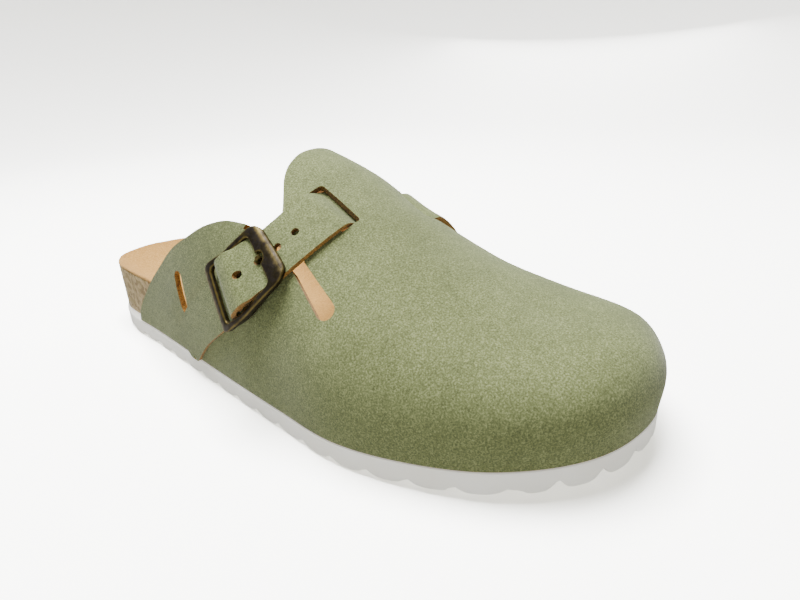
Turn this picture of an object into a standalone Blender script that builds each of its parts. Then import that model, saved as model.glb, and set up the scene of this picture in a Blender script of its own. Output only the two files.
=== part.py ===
"""Buckled clog slipper with a contoured cork footbed, right foot. Metres, +Z up.

The toe points to -Y and the heel to +Y. The outer (lateral) side is -X and the
inner (medial) side is +X. The shoe stands on its sole, with the origin under the
middle of its bounding box.
"""

import math

import bmesh
import bpy
import numpy as np

# Driving dimensions
LENGTH = 0.265  # heel to toe along the outsole
BALL_HALF = 0.0515  # half of the width at the ball of the foot
INSTEP = 0.092  # height that the shares of the crest refer to
SOLE_THICK = 0.0085  # outsole at its side
TOE_SPRING = 0.006  # rise of the outsole's underside at the toe tip
SPRING_START = 0.62  # share of the length where the toe spring begins
CORK_RIM = 0.0217  # cork at the heel rim, above the outsole
LINING_THICK = 0.0012  # suede sheet on the footbed
WALL = 0.0022  # upper material
CLEAR = 0.0003  # gap between pieces that meet
HEEL_STEP = 0.0006  # cork set back from the outsole's edge at the bare heel

TREAD_PITCH = 0.0142  # distance between tread grooves
GROOVE_RADIUS = 0.0021  # size of each tread groove
EDGE_ROUND = 0.0012  # rounding of the outsole's lower edge

STRAP_WIDE = 0.020
STRAP_THICK = 0.0018
SLOT_LONG = 0.0100  # window in the upper, along the strap
SLOT_SIDE = 0.0015  # play beside the strap in its slots
SLOT_SPAN = 0.0325  # strap hidden under the crest, between the two windows
HOLE_PITCH = 0.0074
HOLE_RADIUS = 0.0014
FIRST_HOLE = 0.0203  # from the lip of the slot to the nearest hole
TAIL_HIDDEN = 0.0014  # strap's tail under the buckle's tail bar

SLIT_WIDE = 0.0068
BADGE_LONG = 0.018  # plain round-ended window in the quarter
BADGE_WIDE = 0.0062

FRAME_LONG = 0.0325  # buckle, along the strap
FRAME_BAR = 0.0060  # its wide bar, which the prong rests on
FRAME_SIDE = 0.0024
FRAME_TAIL_BAR = 0.0048
FRAME_THICK = 0.0022
FRAME_CORNER = 0.0050
FRAME_PLAY = 0.0004  # between the strap's edge and the frame
PIN_RADIUS = 0.0011
PRONG_RADIUS = 0.0008
NOTCH_RADIUS = 0.0024
TAB_WIDE = 0.0190
TAB_THICK = 0.0014

# Forms, as shares of the sizes above
# Outline of the sole: (along, lateral half width, medial half width).
OUTLINE = (
    (0.000, 0.00, 0.00),
    (0.012, 0.31, 0.20),
    (0.045, 0.46, 0.47),
    (0.100, 0.58, 0.62),
    (0.200, 0.65, 0.68),
    (0.320, 0.745, 0.645),
    (0.450, 0.85, 0.665),
    (0.580, 0.945, 0.80),
    (0.690, 1.01, 0.925),
    (0.790, 0.935, 0.96),
    (0.880, 0.775, 0.92),
    (0.950, 0.51, 0.76),
    (0.985, 0.24, 0.47),
    (1.000, -0.16, 0.16),
)
# Sections of the last. The first column is the share of the way round the outline,
# from the heel (0) to the toe tip (1). The crest columns are its place along, its
# place across and its height. Fullness 2 is an ellipse, more is squarer. The last
# column is how far the side swells past the outline, as a share of the half width.
SECTIONS = (
    # way, along, across, height, lateral full, medial full, swell
    (0.00, 0.10, 0.00, 1.10, 2.20, 2.20, 0.020),
    (0.15, 0.16, 0.00, 1.14, 2.20, 2.20, 0.020),
    (0.30, 0.31, -0.04, 1.16, 2.10, 2.45, 0.030),
    (0.38, 0.39, -0.01, 1.10, 2.10, 2.55, 0.040),
    (0.46, 0.47, 0.04, 1.005, 2.10, 2.55, 0.040),
    (0.54, 0.56, 0.07, 0.900, 2.10, 2.45, 0.050),
    (0.62, 0.65, 0.06, 0.755, 2.15, 2.05, 0.058),
    (0.70, 0.74, 0.04, 0.625, 2.20, 2.05, 0.058),
    (0.76, 0.81, 0.03, 0.540, 2.35, 2.25, 0.058),
    (0.82, 0.86, 0.03, 0.485, 2.55, 2.55, 0.058),
    (0.90, 0.880, 0.03, 0.470, 2.70, 2.70, 0.058),
    (1.00, 0.880, 0.03, 0.470, 2.70, 2.70, 0.058),
)
# Top edge of the quarters: (way of the foot of the column, way of its top, side of
# its top). Side is -1 at the lateral edge of the sole, 0 on the crest, 1 medial.
LATERAL_TOP = (
    (0.178, 0.184, -0.972),
    (0.205, 0.215, -0.912),
    (0.240, 0.250, -0.846),
    (0.290, 0.300, -0.760),
    (0.330, 0.337, -0.692),
    (0.370, 0.372, -0.633),
    (0.410, 0.410, -0.562),
    (0.450, 0.449, -0.502),
    (0.490, 0.487, -0.470),
)
MEDIAL_TOP = (
    (0.178, 0.184, 0.968),
    (0.205, 0.215, 0.925),
    (0.240, 0.255, 0.875),
    (0.290, 0.308, 0.785),
    (0.340, 0.360, 0.650),
    (0.385, 0.400, 0.520),
    (0.425, 0.432, 0.400),
    (0.460, 0.461, 0.300),
    (0.490, 0.484, 0.150),
)
# Front edge of the collar on the instep: (side, way).
TONGUE_EDGE = (
    (-0.47, 0.535),
    (-0.40, 0.526),
    (-0.355, 0.520),
    (-0.297, 0.509),
    (-0.242, 0.498),
    (-0.162, 0.489),
    (-0.040, 0.484),
    (0.15, 0.484),
)
COLLAR_WAY = 0.490  # way of the section where the quarters meet the instep
LEAN_OUT = 0.100  # the tongue edge's shape fades out over this much of the way
# Slit between the lateral quarter and the instep: (way, side, width as a share of
# SLIT_WIDE) at its mouth, its neck and its round end.
SLIT = (
    (0.488, -0.430, 1.90),
    (0.530, -0.450, 1.30),
    (0.573, -0.488, 0.74),
    (0.629, -0.554, 1.00),
)
# Plain window in the lateral quarter: (way, side) towards its two ends.
BADGE = ((0.354, -0.872), (0.344, -0.765))
# Route of the strap and, past the buckle, of its carrier tab: (way, side).
ROUTE = (
    (0.590, 0.985),
    (0.594, 0.800),
    (0.600, 0.550),
    (0.602, 0.300),
    (0.596, 0.120),
    (0.584, -0.030),
    (0.571, -0.167),
    (0.564, -0.285),
    (0.553, -0.397),
    (0.540, -0.480),
    (0.528, -0.539),
    (0.514, -0.597),
    (0.495, -0.662),
    (0.472, -0.722),
    (0.433, -0.804),
    (0.391, -0.885),
    (0.345, -0.985),
)
LIP_ROW = 6  # row of the route that lies at the lip of the front slot

# Footbed: (along, middle thickness, lateral rim, medial rim) as shares of CORK_RIM.
BED = (
    (0.00, 0.62, 1.00, 1.00),
    (0.10, 0.50, 1.00, 1.00),
    (0.20, 0.50, 0.98, 1.02),
    (0.35, 0.62, 0.86, 1.06),
    (0.50, 0.60, 0.68, 0.98),
    (0.65, 0.42, 0.56, 0.66),
    (0.80, 0.34, 0.50, 0.50),
    (1.00, 0.34, 0.50, 0.50),
)
CUP_START, CUP_END = 0.14, 0.86  # where the footbed's sections fan round heel and toe

STATIONS = 28  # sections in a loft round the outline

OLIVE = (0.290, 0.305, 0.190, 1.0)
TAN = (0.560, 0.400, 0.230, 1.0)
CORK = (0.300, 0.220, 0.140, 1.0)
WHITE = (0.780, 0.765, 0.730, 1.0)
BRASS = (0.180, 0.130, 0.075, 1.0)


# Curves and forms
def eased(rows, at):
    """Columns 1.. of a table at these values of column 0, without overshoot."""
    table = np.asarray(rows, float)
    x = table[:, 0]
    y = table[:, 1:]
    step = np.diff(x)[:, None]
    slope = np.diff(y, axis=0) / step
    tangent = np.zeros_like(y)
    tangent[0] = slope[0]
    tangent[-1] = slope[-1]
    for i in range(1, len(x) - 1):
        same = slope[i - 1] * slope[i] > 0
        w0 = 2 * step[i] + step[i - 1]
        w1 = step[i] + 2 * step[i - 1]
        before = np.where(same, slope[i - 1], 1.0)
        after = np.where(same, slope[i], 1.0)
        tangent[i] = np.where(same, (w0 + w1) / (w0 / before + w1 / after), 0.0)
    at = np.asarray(at, float)
    i = np.clip(np.searchsorted(x, at, side="right") - 1, 0, len(x) - 2)
    h = step[i]
    u = (at[..., None] - x[i][..., None]) / h
    value = (2 * u**3 - 3 * u**2 + 1) * y[i] + (u**3 - 2 * u**2 + u) * h * tangent[i]
    return value + (-2 * u**3 + 3 * u**2) * y[i + 1] + (u**3 - u**2) * h * tangent[i + 1]


def closed_curve(points, steps):
    """A smooth closed curve through the points."""
    count = len(points)
    chord = np.sqrt(np.linalg.norm(np.roll(points, -1, 0) - points, axis=1))
    out = []
    for i in range(count):
        p0, p1 = points[i - 1], points[i]
        p2, p3 = points[(i + 1) % count], points[(i + 2) % count]
        d0, d1, d2 = chord[i - 1], chord[i], chord[(i + 1) % count]
        t1 = ((p1 - p0) / d0 - (p2 - p0) / (d0 + d1) + (p2 - p1) / d1) * d1
        t2 = ((p2 - p1) / d1 - (p3 - p1) / (d1 + d2) + (p3 - p2) / d2) * d1
        u = np.arange(steps)[:, None] / steps
        part = (2 * u**3 - 3 * u**2 + 1) * p1 + (u**3 - 2 * u**2 + u) * t1
        out.append(part + (-2 * u**3 + 3 * u**2) * p2 + (u**3 - u**2) * t2)
    return np.concatenate(out)


def outline_halves():
    """The lateral and the medial half of the outline, each from heel to toe tip."""
    rows = np.asarray(OUTLINE, float)
    y = (0.5 - rows[:, 0]) * LENGTH
    lateral = np.stack([-rows[:, 1] * BALL_HALF, y], 1)
    medial = np.stack([rows[:, 2] * BALL_HALF, y], 1)
    tip = (lateral[-1:] + medial[-1:]) / 2
    ring = closed_curve(np.concatenate([lateral[:-1], tip, medial[-2:0:-1]]), 16)
    ring = np.concatenate([ring, ring[:1]])
    turn = (len(rows) - 1) * 16
    return ring[: turn + 1], ring[turn:][::-1]


def by_way(curve):
    """A function from the share of the way along this curve to its point."""
    leg = np.linalg.norm(np.diff(curve, axis=0), axis=1)
    way = np.concatenate([[0.0], np.cumsum(leg)]) / leg.sum()
    return lambda at: np.stack([np.interp(at, way, curve[:, k]) for k in (0, 1)], -1)


LATERAL, MEDIAL = (by_way(half) for half in outline_halves())


def along(y):
    return 0.5 - y / LENGTH


def ground(y):
    """Height of the outsole's underside, which lifts towards the toe."""
    past = np.clip((along(y) - SPRING_START) / (1 - SPRING_START), 0, None)
    return TOE_SPRING * past**2


def seat(y):
    """Height of what stands on the outsole."""
    return ground(y) + SOLE_THICK + CLEAR


def edge(way, side, inset=0.0):
    """Outline point, moved inwards by the inset."""
    half = LATERAL if side < 0 else MEDIAL
    ahead = half(np.clip(np.asarray(way) + 0.004, 0, 1))
    behind = half(np.clip(np.asarray(way) - 0.004, 0, 1))
    turn = ahead - behind
    turn /= np.linalg.norm(turn, axis=-1, keepdims=True)
    inward = np.stack([-turn[..., 1], turn[..., 0]], -1) * (1 if side < 0 else -1)
    # On the centre line of heel and toe both halves give the same point.
    ends = (np.asarray(way) <= 0) | (np.asarray(way) >= 1)
    straight = np.stack([0 * turn[..., 0], np.where(np.asarray(way) < 0.5, -1.0, 1.0)], -1)
    inward = np.where(ends[..., None], straight, inward)
    return half(way) + inward * np.asarray(inset)[..., None]


def last_point(way, side):
    """Point on the outer face of the upper. Side is -1 lateral edge, 0 crest, 1 medial."""
    way, side = np.broadcast_arrays(np.asarray(way, float), np.asarray(side, float))
    row = eased(SECTIONS, way)
    foot = np.where((side < 0)[..., None], LATERAL(way), MEDIAL(way))
    low = seat(foot[..., 1])
    crest = np.stack([row[..., 1] * BALL_HALF, (0.5 - row[..., 0]) * LENGTH], -1)
    turn = (1 - np.abs(side)) * math.pi / 2
    power = 2 / np.where(side < 0, row[..., 3], row[..., 4])
    inwards = 1 - np.cos(turn) ** power
    upwards = np.sin(turn) ** power
    reach = crest - foot
    swell = row[..., 5] * BALL_HALF * 2.6 * np.sin(turn) * np.cos(turn) ** 2
    inwards = inwards - swell / np.linalg.norm(reach, axis=-1)
    flat = foot + reach * inwards[..., None]
    height = low + (row[..., 2] * INSTEP - low) * upwards
    return np.concatenate([flat, height[..., None]], -1)


def slopes(way, side):
    """How the point moves with way and with side."""
    d = 1e-3
    by_w = (last_point(way + d, side) - last_point(way - d, side)) / (2 * d)
    ahead = np.clip(side + d, -1, 1)
    behind = np.clip(side - d, -1, 1)
    by_s = (last_point(way, ahead) - last_point(way, behind)) / (ahead - behind)[..., None]
    return by_w, by_s


def skin(way, side, lift):
    """Point at this height over the outer face of the upper."""
    way, side = np.broadcast_arrays(np.asarray(way, float), np.asarray(side, float))
    by_w, by_s = slopes(way, side)
    out = np.cross(by_w, by_s)
    out /= np.linalg.norm(out, axis=-1, keepdims=True)
    return last_point(way, side) + out * np.asarray(lift)[..., None]


def route_table():
    """(distance from the slot's lip, way, side) along the strap's route."""
    rows = np.asarray(ROUTE, float)
    row = np.arange(len(rows))
    table = np.column_stack([row, rows])
    fine = np.linspace(0, len(rows) - 1, 16 * (len(rows) - 1) + 1)
    place = eased(table, fine)
    leg = np.linalg.norm(np.diff(last_point(place[:, 0], place[:, 1]), axis=0), axis=1)
    far = np.concatenate([[0.0], np.cumsum(leg)])
    return np.column_stack([far - far[16 * LIP_ROW], place])


ROUTE_TABLE = route_table()
ROUTE_START = ROUTE_TABLE[0, 0]
ROUTE_END = ROUTE_TABLE[-1, 0]


def band_point(far, across, lift):
    """Point of a band on the route: distance from the lip, place across, height."""
    far, across, lift = np.broadcast_arrays(
        np.asarray(far, float), np.asarray(across, float), np.asarray(lift, float)
    )
    at = np.clip(far, ROUTE_START, ROUTE_END)
    way = np.interp(at, ROUTE_TABLE[:, 0], ROUTE_TABLE[:, 1])
    side = np.interp(at, ROUTE_TABLE[:, 0], ROUTE_TABLE[:, 2])
    d = 0.004
    a0, a1 = np.clip(at - d, ROUTE_START, ROUTE_END), np.clip(at + d, ROUTE_START, ROUTE_END)
    d_way = np.interp(a1, ROUTE_TABLE[:, 0], ROUTE_TABLE[:, 1])
    d_way -= np.interp(a0, ROUTE_TABLE[:, 0], ROUTE_TABLE[:, 1])
    d_side = np.interp(a1, ROUTE_TABLE[:, 0], ROUTE_TABLE[:, 2])
    d_side -= np.interp(a0, ROUTE_TABLE[:, 0], ROUTE_TABLE[:, 2])
    by_w, by_s = slopes(way, side)
    run = by_w * d_way[..., None] + by_s * d_side[..., None]
    run /= np.linalg.norm(run, axis=-1, keepdims=True)
    out = np.cross(by_w, by_s)
    out /= np.linalg.norm(out, axis=-1, keepdims=True)
    sideways = np.cross(run, out)
    # The step across, in terms of way and side.
    ww = (by_w * by_w).sum(-1)
    ws = (by_w * by_s).sum(-1)
    ss = (by_s * by_s).sum(-1)
    bw = (by_w * sideways).sum(-1)
    bs = (by_s * sideways).sum(-1)
    det = ww * ss - ws * ws
    way = way + across * (ss * bw - ws * bs) / det
    side = side + across * (ww * bs - ws * bw) / det
    return skin(way, np.clip(side, -0.9999, 0.9999), lift)


# Mesh helpers
def new_object(name, points, faces, material, collection):
    mesh = bpy.data.meshes.new(name)
    mesh.from_pydata([tuple(map(float, p)) for p in points], [], faces)
    form = bmesh.new()
    form.from_mesh(mesh)
    bmesh.ops.remove_doubles(form, verts=form.verts, dist=1e-5)
    bmesh.ops.dissolve_degenerate(form, edges=form.edges, dist=1e-6)
    bmesh.ops.recalc_face_normals(form, faces=form.faces)
    form.to_mesh(mesh)
    form.free()
    obj = bpy.data.objects.new(name, mesh)
    collection.objects.link(obj)
    if material:
        mesh.materials.append(material)
    return obj


def sheet(grid):
    """Points and faces of an open surface from a grid of points."""
    rows, columns = grid.shape[:2]
    faces = []
    for i in range(rows - 1):
        for j in range(columns - 1):
            k = i * columns + j
            faces.append((k, k + 1, k + columns + 1, k + columns))
    return grid.reshape(-1, 3), faces


def block(grids, folded=False):
    """Closed solid between a lower and an upper grid of points of the same shape.

    The first and last rows of a folded grid close on themselves, so they have no rim.
    """
    low, high = grids
    rows, columns = low.shape[:2]
    points, faces = sheet(low)
    top, top_faces = sheet(high)
    count = len(points)
    faces = [tuple(reversed(face)) for face in faces]
    faces += [tuple(k + count for k in face) for face in top_faces]
    rim = [j for j in range(columns)]
    rim += [i * columns + columns - 1 for i in range(1, rows)]
    rim += [(rows - 1) * columns + j for j in range(columns - 2, -1, -1)]
    rim += [i * columns for i in range(rows - 2, 0, -1)]
    for here, there in zip(rim, rim[1:] + rim[:1]):
        if folded and here // columns == there // columns:
            continue
        faces.append((here, there, there + count, here + count))
    return np.concatenate([points, top]), faces


def thickness(obj, value, outwards):
    wall = obj.modifiers.new("wall", "SOLIDIFY")
    wall.thickness = value
    wall.offset = 1.0 if outwards else -1.0
    wall.use_even_offset = True
    wall.use_rim = True


def cut(obj, cutter):
    hole = obj.modifiers.new(cutter.name, "BOOLEAN")
    hole.operation = "DIFFERENCE"
    hole.solver = "EXACT"
    hole.object = cutter


def join(obj, other):
    both = obj.modifiers.new(other.name, "BOOLEAN")
    both.operation = "UNION"
    both.solver = "EXACT"
    both.object = other


def prism(name, ring_low, ring_high, collection):
    """Closed solid between two rings of points."""
    count = len(ring_low)
    faces = [tuple(range(count))[::-1], tuple(range(count, 2 * count))]
    for k in range(count):
        n = (k + 1) % count
        faces.append((k, n, n + count, k + count))
    return new_object(name, list(ring_low) + list(ring_high), faces, None, collection)


def round_slot(length, width, steps=8):
    """Outline of a slot with round ends, about its middle."""
    radius = width / 2
    straight = length / 2 - radius
    turn = np.linspace(-math.pi / 2, math.pi / 2, steps + 1)
    right = np.stack([straight + radius * np.cos(turn), radius * np.sin(turn)], 1)
    return np.concatenate([right, -right])


# The pieces
def make_outsole(material, parts, cutters):
    ways = np.linspace(0, 1, STATIONS + 1)
    ways = (1 - np.cos(ways * math.pi)) / 2 * 0.35 + ways * 0.65
    rings = []
    # (inset, height in the outsole) of each ring, from the underside to the top
    profile = (
        (3 * EDGE_ROUND, 0.0),
        (EDGE_ROUND, 0.0),
        (0.3 * EDGE_ROUND, 0.3 * EDGE_ROUND),
        (0.0, EDGE_ROUND),
        (0.0, SOLE_THICK - 0.4 * EDGE_ROUND),
        (0.4 * EDGE_ROUND, SOLE_THICK),
    )
    for inset, height in profile:
        lateral = edge(ways, -1, np.full(len(ways), inset))
        medial = edge(ways, 1, np.full(len(ways), inset))[::-1][1:-1]
        ring = np.concatenate([lateral, medial])
        rings.append(np.column_stack([ring, ground(ring[:, 1]) + height]))
    count = len(rings[0])
    faces = []
    for level in range(len(rings) - 1):
        for k in range(count):
            n = (k + 1) % count
            low, high = level * count, (level + 1) * count
            faces.append((low + k, low + n, high + n, high + k))
    for first, flip in ((0, True), ((len(rings) - 1) * count, False)):
        for k in range(STATIONS):
            a, b = k, k + 1
            c, d = (count - k - 1) % count, (count - k) % count
            face = [first + a, first + b, first + c, first + d]
            face = [v for i, v in enumerate(face) if v not in face[:i]]
            if len(face) > 2:
                faces.append(tuple(reversed(face)) if flip else tuple(face))
    outsole = new_object("outsole", np.concatenate(rings), faces, material, parts)
    groove = bmesh.new()
    count = int(LENGTH * 0.93 / TREAD_PITCH)
    for k in range(count):
        y = LENGTH / 2 - (k + 0.95) * TREAD_PITCH
        wide = 2.4 * BALL_HALF
        bend = 0.22 * TREAD_PITCH
        corners = []
        for x in (-wide / 2, -wide / 6, wide / 6, wide / 2):
            shift = bend if abs(x) > wide / 4 else -bend
            ring = []
            for step in range(8):
                turn = step * math.pi / 4 + math.pi / 8
                py = y + shift + GROOVE_RADIUS * math.cos(turn) * 1.25
                pz = float(ground(y)) + GROOVE_RADIUS * math.sin(turn)
                ring.append(groove.verts.new((x, py, pz)))
            corners.append(ring)
        for one, two in zip(corners, corners[1:]):
            for step in range(8):
                n = (step + 1) % 8
                groove.faces.new((one[step], one[n], two[n], two[step]))
        groove.faces.new(corners[0][::-1])
        groove.faces.new(corners[-1])
    bmesh.ops.recalc_face_normals(groove, faces=groove.faces)
    mesh = bpy.data.meshes.new("tread_grooves")
    groove.to_mesh(mesh)
    groove.free()
    grooves = bpy.data.objects.new("tread_grooves", mesh)
    cutters.objects.link(grooves)
    cut(outsole, grooves)
    return outsole


def bed_inset(way):
    """The cork is nearly flush at the bare heel and makes room for the upper elsewhere."""
    share = np.clip((np.asarray(way) - 0.085) / 0.07, 0, 1)
    share = share * share * (3 - 2 * share)
    return HEEL_STEP + (WALL + 2 * CLEAR - HEEL_STEP + CLEAR) * share


def bed_grid(lift, narrower=0.0):
    """Top of the footbed, from its lateral edge over the middle to its medial edge."""
    ways = np.linspace(0, 1, STATIONS + 1)
    shares = np.array([1.0, 0.96, 0.88, 0.74, 0.55, 0.3, 0.0])
    grid = np.zeros((len(ways), 2 * len(shares) - 1, 3))
    for sign in (-1, 1):
        rim = edge(ways, sign, bed_inset(ways) + narrower)
        other = edge(ways, -sign, bed_inset(ways) + narrower)
        middle = (rim + other) / 2
        y = np.clip(middle[:, 1], (0.5 - CUP_END) * LENGTH, (0.5 - CUP_START) * LENGTH)
        middle = np.column_stack([middle[:, 0], y])
        for k, share in enumerate(shares):
            flat = middle + (rim - middle) * share
            row = eased(BED, np.clip(along(flat[:, 1]), 0, 1))
            top = row[:, 1 if sign < 0 else 2]
            both = (row[:, 1] + row[:, 2]) / 2
            # At heel and toe the two sides share one rim height.
            near = np.minimum(ways, 1 - ways) / 0.06
            top = both + (top - both) * np.clip(near, 0, 1)
            height = row[:, 0] + (top - row[:, 0]) * share**3.2
            z = seat(flat[:, 1]) + height * CORK_RIM + lift
            column = k if sign < 0 else 2 * len(shares) - 2 - k
            grid[:, column] = np.column_stack([flat, z])
    return grid


def closed_bed(name, low, high, material, parts):
    """Closed solid between two footbed grids, whose first and last rows are folded."""
    points, faces = block((low, high), folded=True)
    return new_object(name, points, faces, material, parts)


def make_footbed(material, parts):
    high = bed_grid(0.0)
    low = high.copy()
    low[..., 2] = seat(low[..., 1])
    return closed_bed("footbed", low, high, material, parts)


def make_insole(material, parts):
    low = bed_grid(CLEAR)
    high = bed_grid(CLEAR + LINING_THICK)
    return closed_bed("insole", low, high, material, parts)


def upper_grid():
    """Vertices and faces of the upper's outer face, open at the collar and below."""
    low_side, mid_side = -TONGUE_EDGE[0][0], TONGUE_EDGE[-1][0]
    outer = np.linspace(1, low_side, 9)
    middle = np.linspace(low_side, mid_side, 7)[1:]
    inner = np.linspace(mid_side, 0, 3)[1:]
    levels = np.concatenate([outer, middle, inner])
    front = np.concatenate([-levels, levels[:-1][::-1]])
    points = []
    faces = []

    def add(grid):
        start = len(points)
        more, found = sheet(grid)
        points.extend(more)
        faces.extend(tuple(k + start for k in face) for face in found)

    feet = np.linspace(LATERAL_TOP[0][0], COLLAR_WAY, 12)
    for table, count in ((LATERAL_TOP, len(outer)), (MEDIAL_TOP, len(outer) + len(middle))):
        top = eased(table, feet)
        grid = []
        for foot, (top_way, top_side) in zip(feet, top):
            sign = -1 if top_side < 0 else 1
            u = (1 - levels[:count]) / (1 - levels[count - 1])
            side = sign + (top_side - sign) * u
            way = foot + (top_way - foot) * u
            grid.append(last_point(way, side))
        add(np.array(grid))
    ways = np.linspace(COLLAR_WAY, 1, 23)
    grid = []
    corner = {-1: LATERAL_TOP[-1][1], 1: MEDIAL_TOP[-1][1]}
    for way in ways:
        fade = max(0.0, 1 - (way - COLLAR_WAY) / LEAN_OUT)
        row = []
        for side in front:
            if side < TONGUE_EDGE[0][0]:
                u = (1 + side) / (1 + TONGUE_EDGE[0][0])
                shift = (corner[-1] - COLLAR_WAY) * u
            elif side > TONGUE_EDGE[-1][0]:
                u = (1 - side) / (1 - TONGUE_EDGE[-1][0])
                shift = (corner[1] - COLLAR_WAY) * u
            else:
                edge_way = float(eased(TONGUE_EDGE, side)[0])
                near = min(1.0, (side - TONGUE_EDGE[0][0]) / 0.03)
                shift = (corner[-1] - COLLAR_WAY) * (1 - near)
                shift += (edge_way - COLLAR_WAY) * near
            row.append((way + shift * fade, side))
        row = np.array(row)
        grid.append(last_point(row[:, 0], row[:, 1]))
    add(np.array(grid))
    return points, faces


def frame_at(way, side, heading):
    """Middle, run, sideways and outward directions of a flat cutter on the upper."""
    way, side = np.float64(way), np.float64(side)
    middle = skin(way, side, 0.0)
    out = skin(way, side, WALL) - middle
    out /= np.linalg.norm(out)
    run = heading - out * (heading @ out)
    run /= np.linalg.norm(run)
    return middle, run, np.cross(out, run), out


def slit_cutter(cutters):
    """Tapered cutter with a round end, open at the collar."""
    ends = [skin(np.float64(way), np.float64(side), 0.0) for way, side, _ in SLIT]
    way, side, _ = np.mean(np.array(SLIT), axis=0)
    middle, run, sideways, out = frame_at(way, side, ends[-1] - ends[0])
    flat = np.array([((p - middle) @ run, (p - middle) @ sideways) for p in ends])
    half = np.array([row[2] for row in SLIT]) * SLIT_WIDE / 2
    turn = np.linspace(-math.pi / 2, math.pi / 2, 9)
    last = flat[-1] - [half[-1], 0]
    cap = last + half[-1] * np.stack([np.cos(turn), np.sin(turn)], 1)
    lower = flat[:-1] - np.stack([0 * half[:-1], half[:-1]], 1)
    higher = flat[:-1] + np.stack([0 * half[:-1], half[:-1]], 1)
    ring = np.concatenate([lower, cap, higher[::-1]])
    ring = middle + ring[:, :1] * run + ring[:, 1:] * sideways
    deep = 4 * WALL
    return prism("slit_cutter", ring - out * deep, ring + out * deep, cutters)


def badge_cutter(cutters):
    """Round-ended cutter for the plain window in the quarter."""
    ends = [skin(np.float64(way), np.float64(side), 0.0) for way, side in BADGE]
    way, side = np.mean(np.array(BADGE), axis=0)
    middle, run, sideways, out = frame_at(way, side, ends[1] - ends[0])
    flat = round_slot(BADGE_LONG, BADGE_WIDE)
    ring = middle + flat[:, :1] * run + flat[:, 1:] * sideways
    deep = 3 * WALL
    return prism("badge_cutter", ring - out * deep, ring + out * deep, cutters)


def band_box(name, far, across, lift, cutters, steps=6):
    """Cutter in the strap's own coordinates, rounded at its corners."""
    grids = []
    for height in lift:
        f, a = np.meshgrid(np.linspace(*far, steps), np.linspace(*across, steps), indexing="ij")
        grids.append(band_point(f, a, np.full(f.shape, height)))
    points, faces = block(grids)
    return new_object(name, points, faces, None, cutters)


def make_upper(material, parts, cutters):
    points, faces = upper_grid()
    upper = new_object("upper", points, faces, material, parts)
    thickness(upper, WALL, outwards=False)
    cut(upper, slit_cutter(cutters))
    cut(upper, badge_cutter(cutters))
    half = STRAP_WIDE / 2 + SLOT_SIDE
    deep = (-3 * WALL, 2 * WALL)
    cut(upper, band_box("front_slot", (0.0, SLOT_LONG), (-half, half), deep, cutters))
    far = (-SLOT_SPAN - SLOT_LONG, -SLOT_SPAN)
    cut(upper, band_box("side_slot", far, (-half, half), deep, cutters))
    return upper


def in_use():
    """Distance of the strap hole that the prong goes through."""
    return FIRST_HOLE + 2 * HOLE_PITCH


def pin_place():
    """(distance, height) of the buckle's pin."""
    return frame_start() + 0.575 * FRAME_LONG, pin_height()


def pin_height():
    return CLEAR + TAB_THICK + CLEAR + PIN_RADIUS


def frame_start():
    return in_use() - FRAME_BAR - 0.6 * HOLE_RADIUS


def strap_end():
    return frame_start() + FRAME_LONG - FRAME_TAIL_BAR + TAIL_HIDDEN


def strap_lift():
    """(distance, height of the strap's underside) along the route."""
    out = CLEAR
    under = -(WALL + STRAP_THICK + 2 * CLEAR)
    over = pin_height() + PIN_RADIUS + TAB_THICK + 2 * CLEAR
    hole = 2 * PRONG_RADIUS + 4 * CLEAR
    return (
        (ROUTE_START, out),
        (-SLOT_SPAN - SLOT_LONG, out),
        (-SLOT_SPAN - 0.02 * SLOT_LONG, under),
        (-0.02 * SLOT_LONG, under),
        (0.93 * SLOT_LONG, out),
        (frame_start() - 0.5 * FRAME_BAR, out),
        (frame_start() + FRAME_BAR, out + 0.15 * hole),
        (in_use() + HOLE_RADIUS, out + 0.7 * hole),
        (in_use() + HOLE_PITCH, out + 0.3 * hole + 0.5 * over),
        (pin_place()[0] - 0.05 * FRAME_LONG, over),
        (pin_place()[0] + 0.04 * FRAME_LONG, over),
        (strap_end() - TAIL_HIDDEN - 3 * CLEAR, CLEAR + TAB_THICK + CLEAR),
        (ROUTE_END, CLEAR + TAB_THICK + CLEAR),
    )


def make_strap(material, parts, cutters):
    end = strap_end()
    marks = [row[0] for row in strap_lift() if row[0] < end]
    far = np.unique(np.round(np.concatenate([np.linspace(ROUTE_START, end, 50), marks]), 5))
    far = far[np.concatenate([[True], np.diff(far) > 0.0006])]
    far[-1] = end
    lift = eased(strap_lift(), far)[:, 0]
    faces_of = ([], [])
    for place, height in zip(far, lift):
        # The tail's corners are cut off, more at the lower one.
        near = min(1.0, max(0.0, (place - end + 0.006) / 0.006))
        low = -STRAP_WIDE / 2 * (1 - 0.12 * near**3)
        high = STRAP_WIDE / 2 * (1 - 0.42 * near**1.5)
        across = np.linspace(low, high, 5)
        for face, lift_by in zip(faces_of, (height, height + STRAP_THICK)):
            face.append(band_point(np.full(5, place), across, np.full(5, lift_by)))
    points, faces = block([np.array(face) for face in faces_of])
    strap = new_object("strap", points, faces, material, parts)
    for k in range(4):
        place = FIRST_HOLE + k * HOLE_PITCH
        middle = float(eased(strap_lift(), np.float64(place))[0])
        turn = np.arange(12) * math.pi / 6
        f = place + HOLE_RADIUS * np.cos(turn)
        a = HOLE_RADIUS * np.sin(turn)
        low = band_point(f, a, np.full(12, middle - 2 * STRAP_THICK))
        high = band_point(f, a, np.full(12, middle + 3 * STRAP_THICK))
        cut(strap, prism(f"strap_hole_{k + 1}", low, high, cutters))
    return strap


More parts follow.
